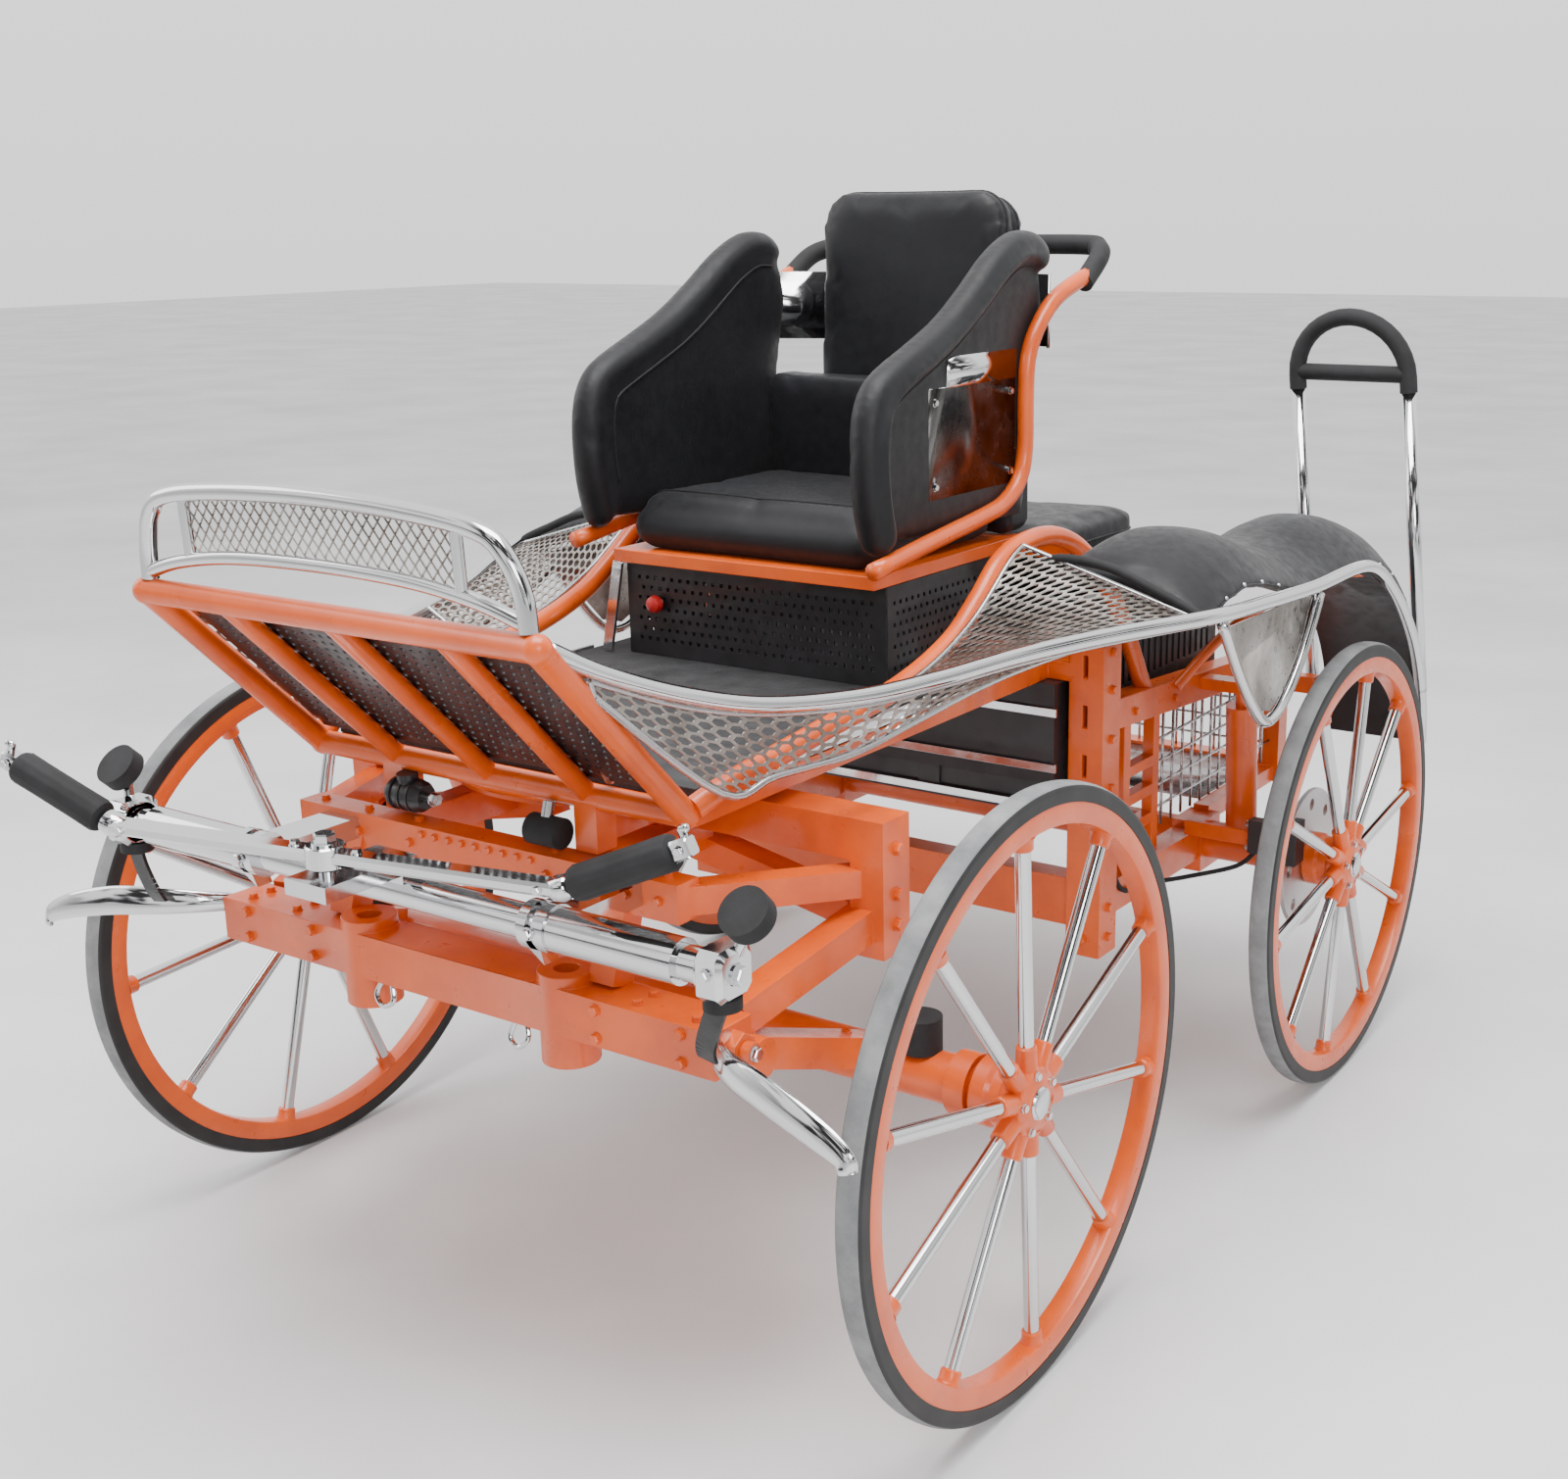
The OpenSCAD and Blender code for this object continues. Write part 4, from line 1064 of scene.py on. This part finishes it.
def seat_cushion():
    body = Build()
    outline = [rear(x, -606 + y, 976) for x, y in rounded_outline(452, 358, 30)]
    prism(body, outline, Vector((0, 0, 66 * MM)), LEATHER)
    body.tube([rear(x, -782, 1000) for x in (-205, -100, 0, 100, 205)], 29 * MM, LEATHER, 24, round_ends=24 * MM)
    pad = loose(body, "seat_pad")
    swell(pad, 7 * MM, 4.0, 12 * MM, ((-0.2298, -9, 968.6 * MM), (0.2298, 9, 1.062)))
    upholster(pad, "seat_cushion")
    line = [rear(x, -748, 1050) for x in (-205, -100, 0, 100, 205)]
    seam(pad, line).piece("seat_pad_seam", BODY, "black_leather")


def rear_cushion():
    body = Build()
    outline = [rear(x, -30 + y, 873) for x, y in rounded_outline(384, 334, 26)]
    prism(body, outline, Vector((0, 0, 60 * MM)), LEATHER)
    pad = loose(body, "rear_pad")
    swell(pad, 8 * MM, 4.0, 10 * MM, ((-9, -9, 868.5 * MM), (9, 9, 9)))
    upholster(pad, "rear_cushion")
    ring = [rear(x * 1.03, -30 + y * 1.03, 903) for x, y in rounded_outline(384, 334, 26)]
    seam(pad, ring, 2.2 * MM, 0.3 * MM, True).piece("rear_pad_seam", BODY, "black_leather")


# Height of the fender pads' crown along Y, from the rear axle
CROWN = [(-592, 956), (-520, 982), (-430, 996), (-340, 986), (-250, 960), (-170, 942), (-70, 936), (40, 946),
         (140, 942), (222, 912), (290, 862), (332, 806)]
INNER_X, OUTER_X = 384, 641


def pad_section(y, top):
    """Ring of the pad at one place: crowned above, falling further on the outside, flat below."""
    span = OUTER_X - INNER_X
    upper = []
    for k in range(13):
        s = k / 12
        fall = 34 * abs(2 * s - 1) ** 3.4 + 30 * smooth_step((s - 0.45) / 0.55)
        upper.append(rear(INNER_X + span * s, y, top - fall))
    lower = [p - Vector((0, 0, 30 if 0 < k < 12 else 12)) * MM for k, p in enumerate(upper)]
    return upper + lower[::-1]


def fender_pads():
    line = spline([rear(0, y, z) for y, z in CROWN], 4)
    body = Build()
    body.rings([pad_section((p.y - REAR_Y) / MM, p.z / MM) for p in line], LEATHER)
    pad = loose(body, "fender_cushion_left")
    swell(pad, 9 * MM, 4.0, 7 * MM)
    edge = seam(pad, [rear(OUTER_X, (p.y - REAR_Y) / MM, p.z / MM - 72) for p in line[1:-1:4]], 2.2 * MM)
    other = mirrored_copy(pad, "fender_cushion_right")
    arch = Build()
    band = spline([rear(378, -601, 962), rear(420, -602, 978), rear(500, -602, 972), rear(575, -602, 944),
                   rear(628, -600, 922), rear(648, -598, 908)], 6)
    arch.tube(band, 7 * MM, FOAM, 14, round_ends=5 * MM)
    studs = Build()
    for i in range(13):
        y = -560 + i * 66
        top = float(np.interp(y, [c[0] for c in CROWN], [c[1] for c in CROWN]))
        spot = on_surface(pad, [rear(OUTER_X + 5, y, top - 66)])[0]
        studs.tube([spot - Vector((1, 0, 0)) * MM, spot + Vector((1.2, 0, 0)) * MM, spot + Vector((2.2, 0, 0)) * MM],
                   [4.2 * MM, 3.6 * MM, 1.6 * MM], CHROME, 12)
    for obj, side in ((pad, "left"), (other, "right")):
        upholster(obj, "fender_pad_" + side)
    both(edge, "fender_seam", BODY, "black_leather")
    both(arch, "fender_arch", BODY, "black_foam")
    both(studs, "fender_studs", BODY, "chrome")


wing()
backrest()
seat_cushion()
rear_cushion()
fender_pads()

# ------------------------------------------------------------------ foam grips


def foam_grips():
    half = 284.9
    arc = [rear(half, -284, 1352), rear(half - 4, -225, 1388), rear(half - 22, -192, 1402),
           rear(half - 60, -180, 1408), rear(0, -178, 1408)]
    hoop = Build()
    hoop.tube(spline(mirrored(arc), 8), 16 * MM, FOAM, 24, round_ends=3 * MM)
    hoop.piece("seat_hoop", BODY, "black_foam", ["seat_grip"])

    def on_handle(x, z):
        return rear(490 + x - 0.10 * (z - 1170), 372.8, z)

    turns = [math.radians(a) for a in range(0, 181, 10)]
    bow = [on_handle(103 * math.cos(a), 1168 + 103 * math.sin(a)) for a in turns]
    path = [on_handle(103, 1141)] + bow + [on_handle(-103, 1141)]
    loop = Build()
    loop.tube(path, 15.5 * MM, FOAM, 24, round_ends=2 * MM)
    loop.rod(on_handle(-103, 1172), on_handle(103, 1172), 15 * MM, FOAM, 24)
    both(loop, "handle_foam", BODY, "black_foam", ["handle_grip"])


foam_grips()

# ------------------------------------------------------------------ swingletree

SWING = math.radians(10.7)
HALF, TILT, ROLLER_L = 318, math.radians(23), 158


def swing(x, y, z):
    """A point from the swingletree's pivot, in millimetres along and across the parked bar."""
    turned = (x * math.cos(SWING) - y * math.sin(SWING), x * math.sin(SWING) + y * math.cos(SWING), z)
    return PIVOT + Vector(turned) * MM


def swingletree():
    bar = Build()
    wide, high = 15, 8
    section = [(-wide, -high + 4), (-wide + 4, -high), (wide - 4, -high), (wide, -high + 4), (wide, high - 4),
               (wide - 4, high), (-wide + 4, high), (-wide, high - 4)]
    bar.rings([[swing(x, y, z) for y, z in section] for x in (-HALF + 4, -60, 60, HALF - 4)], CHROME)
    bar.lathe([(11 * MM, -14 * MM), (22 * MM, -14 * MM), (24 * MM, -12 * MM), (24 * MM, 12 * MM),
               (22 * MM, 14 * MM), (11 * MM, 14 * MM)], PIVOT, Vector((0, 0, 1)), CHROME, 48)
    for x in (-44, 44):
        bar.nut(swing(x, 0, high), Vector((0, 0, 1)), 11 * MM, 6 * MM, CHROME)
    rollers = Build()
    for sign in (1, -1):
        def arm(s, y=0.0, up=0.0, sign=sign):
            return swing(sign * (HALF + s * math.cos(TILT) - up * math.sin(TILT)), y,
                         s * math.sin(TILT) + up * math.cos(TILT))

        axis = (arm(1) - arm(0)).normalized()
        bar.tube([swing(sign * (HALF - 16), 0, 0), swing(sign * (HALF - 6), 0, 0), arm(4), arm(12), arm(15)],
                 [9 * MM, 15 * MM, 16 * MM, 15 * MM, 12 * MM], CHROME, 28)
        bar.nut(swing(sign * (HALF - 22), -15, 0), swing(0, -1, 0) - swing(0, 0, 0), 9 * MM, 5 * MM, CHROME)
        a, b = basis(axis)
        rings = []
        for s, rad in ((19, 15), (21, 19.5), (26, 21), (60, 20.6), (118, 20.6), (150, 21), (155, 19), (157, 14)):
            ring = []
            for j in range(48):
                ang = 2 * math.pi * j / 48
                rib = 0.45 * math.cos(12 * ang) if 26 <= s <= 150 else 0
                ring.append(arm(s) + (rad + rib) * MM * (math.cos(ang) * a + math.sin(ang) * b))
            rings.append(ring)
        rollers.rings(rings, FOAM)
        clamp = [(-11, -9), (-8, -12), (8, -12), (11, -9), (11, 9), (8, 12), (-8, 12), (-11, 9)]
        bar.rings([[arm(s, y * k, z * k) for y, z in clamp] for s, k in ((156, 0.8), (159, 1), (176, 1), (180, 0.85))],
                  CHROME)
        hook = [arm(168), arm(174, 0, 10), arm(175, 0, 20), swing(sign * (HALF + 166 * math.cos(TILT) + 6), 0,
                                                                166 * math.sin(TILT) + 24)]
        bar.tube(spline(hook, 5), 5 * MM, CHROME, 14, round_ends=4 * MM)
        bar.nut(arm(168, -12), swing(0, -1, 0) - swing(0, 0, 0), 9 * MM, 5 * MM, CHROME)
    bar.nut(swing(0, 0, 14), Vector((0, 0, 1)), 24 * MM, 14 * MM, CHROME)
    bar.piece("swingletree_chrome", "swingletree", "chrome", ["swingletree_bar"], sharp=32)
    rollers.piece("swingletree_covers", "swingletree", "black_foam", ["swingletree_rollers"], sharp=40)


swingletree()

# ------------------------------------------------------------------ undercarriage details


def guards():
    """Flattened chrome bows ahead of the front wheels, with a turned-down tip and a dark bracket."""
    path = spline([front(424, -300, 545), front(450, -352, 556), front(500, -392, 560), front(560, -414, 556),
                   front(630, -428, 540), front(676, -432, 521), front(684, -433, 505)], 6)
    bow = Build()
    rings = []
    n = len(path)
    for i, (p, (t, _, _)) in enumerate(zip(path, path_frames(path))):
        across = Vector((0.12, 0.25, 1)).normalized()
        across = (across - t * across.dot(t)).normalized()
        flat = t.cross(across)
        s = i / (n - 1)
        wide = (11 + 9 * math.sin(math.pi * min(1, s * 1.05)) ** 1.2) * MM
        turns = [math.radians(20 * k) for k in range(18)]
        rings.append([p + across * wide * math.cos(a) + flat * 6 * MM * math.sin(a) for a in turns])
    bow.rings(rings, CHROME)
    bracket = Build()
    drop = spline([front(506, -405, 656), front(492, -408, 620), front(478, -404, 585), front(474, -396, 566)], 5)
    for i in range(len(drop) - 1):
        a, b = drop[i], drop[i + 1]
        t = (b - a).normalized()
        side = Vector((0, -1, 0)).cross(t).normalized() * 13 * MM
        thick = Vector((0, 2.5, 0)) * MM
        bracket.rings([flat_ring(a, side, thick), flat_ring(b, side, thick)], BLACK)
    both(bow, "guard_bow", FORE, "chrome")
    both(bracket, "guard_bracket", FORE, "black_paint")
    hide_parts("wheel_guards")


guards()


def splinter_details():
    bits = Build()
    y, z = -403, 679
    for sign in (1, -1):
        for x in (236, 262):
            bits.rod(front(sign * (x - 7), y, z), front(sign * (x + 7), y, z), 29.5 * MM, CHROME, 40)
        low = [front(sign * x, y + dy, z + dz) for x, dy, dz in ((240, -20, -22), (258, -20, -22), (249, -6, -46))]
        top = [p + Vector((0, 24, 0)) * MM for p in low]
        bits.rings([low, top], CHROME)
        bits.nut(front(sign * 249, y - 28, z), Vector((0, -1, 0)), 12 * MM, 8 * MM, CHROME)
        block = [(-31, -20), (-20, -30), (20, -30), (31, -20), (31, 22), (22, 31), (-22, 31), (-31, 22)]
        bits.rings([[front(sign * x, y + dy * k, z + dz * k) for dy, dz in block]
                    for x, k in ((486, 0.82), (492, 1.0), (518, 1.0), (524, 0.8))], CHROME)
        bits.nut(front(sign * 524, y, z), Vector((sign, 0, 0)), 20 * MM, 10 * MM, CHROME)
        bits.nut(front(sign * 505, y - 31, z + 6), Vector((0, -1, 0)), 12 * MM, 7 * MM, CHROME)
    bits.piece("splinter_fittings", FORE, "chrome", sharp=32)


splinter_details()


def bolts():
    """Bolt heads on the frame, each on the body that carries it."""
    up, ahead = Vector((0, 0, 1)), Vector((0, -1, 0))
    fore = Build()
    for sign in (1, -1):
        out = Vector((sign, 0, 0))
        for x, y in ((300, -310), (300, -280), (390, -310), (390, -280)):
            fore.nut(front(sign * x, y, 560), up, 11 * MM, 7 * MM, ORANGE)
        for z in (512, 548):
            fore.nut(front(sign * 250, -330, z), ahead, 12 * MM, 7 * MM, ORANGE)
            fore.nut(front(sign * 380, -330, z), ahead, 12 * MM, 7 * MM, ORANGE)
        for z in (600, 640, 700):
            fore.nut(front(sign * 475, -15, z), out, 14 * MM, 8 * MM, ORANGE)
        fore.rod(front(sign * 448, -295, 530), front(sign * 460, -295, 530), 13 * MM, ORANGE, 24)
        fore.nut(front(sign * 460, -295, 530), out, 15 * MM, 8 * MM, CHROME)
        for x in (120, 215, 300):
            fore.nut(front(sign * x, -265, 675), ahead, 10 * MM, 6 * MM, ORANGE)
            fore.nut(front(sign * x, -245, 700), up, 10 * MM, 6 * MM, ORANGE)
        fore.nut(front(sign * 425, -60, 452), up, 14 * MM, 9 * MM, ORANGE)
        # Hanging trace shackle under the boss
        fore.tube(spline([front(sign * 110, -322, 500), front(sign * 104, -328, 478), front(sign * 120, -332, 470),
                          front(sign * 134, -328, 482), front(sign * 128, -322, 500)], 5), 3.5 * MM, CHROME, 10)
    for x in range(-96, 97, 24):
        fore.nut(front(x, -265, 690), ahead, 8 * MM, 5 * MM, ORANGE)
    fore.piece("fore_bolts", FORE, "steel", sharp=30)
    body = Build()
    for sign in (1, -1):
        out = Vector((sign, 0, 0))
        for z in (330, 380, 500, 580, 660, 740, 800):
            body.nut(rear(sign * 410, -405, z), out, 12 * MM, 7 * MM, ORANGE)
        for z in (330, 400):
            body.nut(rear(sign * 380, -435, z), ahead, 12 * MM, 7 * MM, ORANGE)
        for y in (-300, -150, 20, 180):
            body.nut(rear(sign * 400, y, 686 - 0.07 * (y + 376)), out, 11 * MM, 6 * MM, ORANGE)
        for z in (1080, 1200):
            for y in (-688, -472):
                body.nut(rear(sign * 261.6, y, z), out, 9 * MM, 5 * MM, CHROME)
        for z in (420, 600):
            body.nut(rear(sign * 380, 365, z), -ahead, 12 * MM, 7 * MM, ORANGE)
    body.piece("body_bolts", BODY, "steel", sharp=30)


bolts()


def controls():
    """Pedal, brake cylinder, rubber buffer and the release lever at the floor's corner."""
    pedal = Build()
    path = spline([front(128, -352, 948), front(146, -330, 938), front(176, -300, 908), front(198, -270, 868),
                   front(206, -252, 832)], 6)
    rings = []
    for p, (t, _, _) in zip(path, path_frames(path)):
        side = Vector((1, 0, 0))
        side = (side - t * side.dot(t)).normalized() * 21 * MM
        thick = t.cross(side).normalized() * 2 * MM
        rings.append(flat_ring(p, side, thick))
    pedal.rings(rings, SATIN)
    pedal.rod(front(206, -252, 832), front(200, -226, 800), 7 * MM, SATIN)
    pedal.piece("brake_pedal", BODY, "steel", bevel=1 * MM)
    unit = Build()
    unit.tube([front(-168, -244, 733), front(-160, -244, 733), front(-112, -244, 733), front(-104, -244, 733)],
              [15 * MM, 21 * MM, 21 * MM, 16 * MM], BLACK, 28)
    unit.tube([front(-136, -244, 745), front(-136, -246, 763)], 14 * MM, BLACK, 24)
    unit.rod(front(-104, -244, 733), front(-84, -244, 733), 6 * MM, SATIN)
    unit.nut(front(-92, -244, 733), Vector((1, 0, 0)), 15 * MM, 9 * MM, SATIN)
    for x in (-156, -140, -124):
        unit.rod(front(x, -244, 733), front(x + 4, -244, 733), 22.5 * MM, BLACK, 28)
    unit.piece("brake_cylinder", BODY, "black_paint", sharp=40)
    buffer = Build()
    buffer.tube([front(84, -250, 727), front(88, -250, 727), front(138, -250, 727), front(142, -250, 727)],
                [15 * MM, 20 * MM, 20 * MM, 15 * MM], FOAM, 24)
    buffer.rod(front(113, -250, 745), front(113, -244, 764), 8 * MM, SATIN)
    buffer.piece("rubber_buffer", BODY, "black_foam", sharp=40)
    lever = Build()
    a, b = rear(-274, -800, 803), rear(-248, -796, 944)
    side = Vector((9, 0, -2)) * MM
    deep = Vector((0, 3, 0)) * MM
    lever.rings([flat_ring(a, side, deep), flat_ring(b, side, deep)], CHROME)
    lever.piece("release_lever", BODY, "chrome", bevel=1 * MM)
    knob = Build()
    knob.lathe([(3 * MM, 0), (11 * MM, 3 * MM), (14 * MM, 10 * MM), (12 * MM, 18 * MM), (6 * MM, 22 * MM)],
               rear(-178, -785, 884), Vector((0, -1, 0)), RED, 32, closed=False)
    knob.piece("red_knob", BODY, "orange_paint")


controls()


def brake_block(build, sign, xs, ys, zs, mat):
    """A box on one side of the carriage, given by its two places along each axis."""
    x0, x1 = sorted(sign * x for x in xs)
    build.block(tuple(rear(x0, ys[0], zs[0])), tuple(rear(x1, ys[1], zs[1])), mat)


def brakes():
    """Caliper over each rear disc and its pipe along the arm."""
    for side, sign in (("left", 1), ("right", -1)):
        caliper = Build()
        brake_block(caliper, sign, (560, 608), (-112, -70), (396, 470), BLACK)
        brake_block(caliper, sign, (520, 562), (-104, -78), (404, 462), BLACK)
        for z in (412, 452):
            caliper.nut(rear(sign * 520, -91, z), Vector((-sign, 0, 0)), 12 * MM, 8 * MM, SATIN)
        caliper.piece("brake_caliper_" + side, BODY, "black_paint", bevel=3 * MM)
        bracket = Build()
        brake_block(bracket, sign, (400, 540), (-96, -86), (414, 440), ORANGE)
        bracket.piece("caliper_bracket_" + side, BODY, "orange_paint", bevel=1.5 * MM)
        pipe = Build()
        path = spline([rear(sign * 530, -95, 404), rear(sign * 505, -112, 380), rear(sign * 440, -160, 364),
                       rear(sign * 412, -240, 372), rear(sign * 408, -340, 388), rear(sign * 404, -370, 420)], 6)
        pipe.tube(path, 4 * MM, FOAM, 12)
        pipe.piece("brake_pipe_" + side, BODY, "black_foam")


brakes()


def inner_fender():
    """Painted stay under each rear fender."""
    stay = Build()
    path = spline([rear(402, -150, 690), rear(470, -60, 790), rear(560, 40, 850), rear(622, 120, 862),
                   rear(643, 175, 835)], 6)
    stay.tube(path, 9 * MM, ORANGE, 16)
    both(stay, "fender_stay", BODY, "orange_paint")


inner_fender()

# ------------------------------------------------------------------ stage, light and camera


def stage():
    bpy.ops.mesh.primitive_grid_add(x_subdivisions=2, y_subdivisions=2, size=60, location=(0, 0, 0))
    ground = bpy.context.object
    ground.name = "ground"
    p = Paint("ground", (0.72, 0.72, 0.72), roughness=0.75)
    p.vary_colour(p.noise(1.2, 6), [(0.3, (0.64, 0.64, 0.645)), (0.7, (0.78, 0.78, 0.78))])
    ground.data.materials.append(p.mat)


def world():
    """White room; the part behind the camera has dark patches, which polished metal mirrors."""
    made = bpy.data.worlds.new("studio")
    bpy.context.scene.world = made
    made.use_nodes = True
    tree = made.node_tree
    link = tree.links.new
    coords = tree.nodes.new("ShaderNodeTexCoord").outputs["Generated"]
    split = tree.nodes.new("ShaderNodeSeparateXYZ")
    link(coords, split.inputs["Vector"])
    sky = grey_ramp(tree, ((0.40, 0.62), (0.55, 0.80), (0.95, 1.0)))
    lift = tree.nodes.new("ShaderNodeMapRange")
    lift.inputs["From Min"].default_value = -1
    link(split.outputs["Z"], lift.inputs["Value"])
    link(lift.outputs["Result"], sky.inputs["Fac"])
    facing = tree.nodes.new("ShaderNodeVectorMath")
    facing.operation = "DOT_PRODUCT"
    facing.inputs[1].default_value = (0.55, -0.83, 0)
    link(coords, facing.inputs[0])
    mask = tree.nodes.new("ShaderNodeMapRange")
    mask.inputs["From Min"].default_value = -0.25
    mask.inputs["From Max"].default_value = 0.35
    link(facing.outputs["Value"], mask.inputs["Value"])
    noise = tree.nodes.new("ShaderNodeTexNoise")
    noise.inputs["Scale"].default_value = 2.6
    noise.inputs["Detail"].default_value = 1
    stretch = tree.nodes.new("ShaderNodeMapping")
    stretch.inputs["Scale"].default_value = (1, 1, 2.2)
    link(coords, stretch.inputs["Vector"])
    link(stretch.outputs["Vector"], noise.inputs["Vector"])
    patches = grey_ramp(tree, ((0.46, 0.03), (0.52, 0.30), (0.56, 1.0)))
    link(noise.outputs["Fac"], patches.inputs["Fac"])
    dark = tree.nodes.new("ShaderNodeMix")
    dark.data_type = "RGBA"
    dark.blend_type = "MULTIPLY"
    link(mask.outputs["Result"], dark.inputs["Factor"])
    link(sky.outputs["Color"], dark.inputs["A"])
    link(patches.outputs["Color"], dark.inputs["B"])
    link(dark.outputs["Result"], tree.nodes["Background"].inputs["Color"])
    tree.nodes["Background"].inputs["Strength"].default_value = 1.9


def grey_ramp(tree, levels):
    return fill_ramp(tree.nodes.new("ShaderNodeValToRGB"), [(at, (level,) * 3) for at, level in levels])


def area_light(name, location, target, size, power, tint=(1, 1, 1)):
    data = bpy.data.lights.new(name, "AREA")
    data.shape = "RECTANGLE"
    data.size, data.size_y = size
    data.energy = power
    data.color = tint
    obj = bpy.data.objects.new(name, data)
    obj.location = location
    obj.rotation_euler = (Vector(target) - Vector(location)).to_track_quat("-Z", "Y").to_euler()
    bpy.context.scene.collection.objects.link(obj)


def camera():
    azimuth, elevation, roll = math.radians(33.64), math.radians(15.0), math.radians(-0.68)
    ahead = Vector((-math.sin(azimuth) * math.cos(elevation), math.cos(azimuth) * math.cos(elevation),
                    -math.sin(elevation)))
    right = ahead.cross(Vector((0, 0, 1))).normalized()
    up = right.cross(ahead)
    right, up = (right * math.cos(roll) + up * math.sin(roll), up * math.cos(roll) - right * math.sin(roll))
    data = bpy.data.cameras.new("camera")
    data.sensor_width = 36
    data.lens = 43.76
    data.shift_x = -0.0594
    data.shift_y = -0.0109
    obj = bpy.data.objects.new("camera", data)
    turn = Matrix((right, up, -ahead)).transposed().to_4x4()
    obj.matrix_world = Matrix.Translation(front(1699, -1894, 1463)) @ turn
    bpy.context.scene.collection.objects.link(obj)
    bpy.context.scene.camera = obj


stage()
world()
area_light("overhead", (0.6, -0.8, 4.6), (0, 0, 0.6), (3.5, 2.5), 330)
area_light("front_side", (4.2, -3.2, 2.8), (0, -0.2, 0.7), (2.0, 1.6), 90)
area_light("left_side", (-4.0, -1.5, 3.0), (0, 0, 0.7), (2.0, 2.4), 40)
camera()
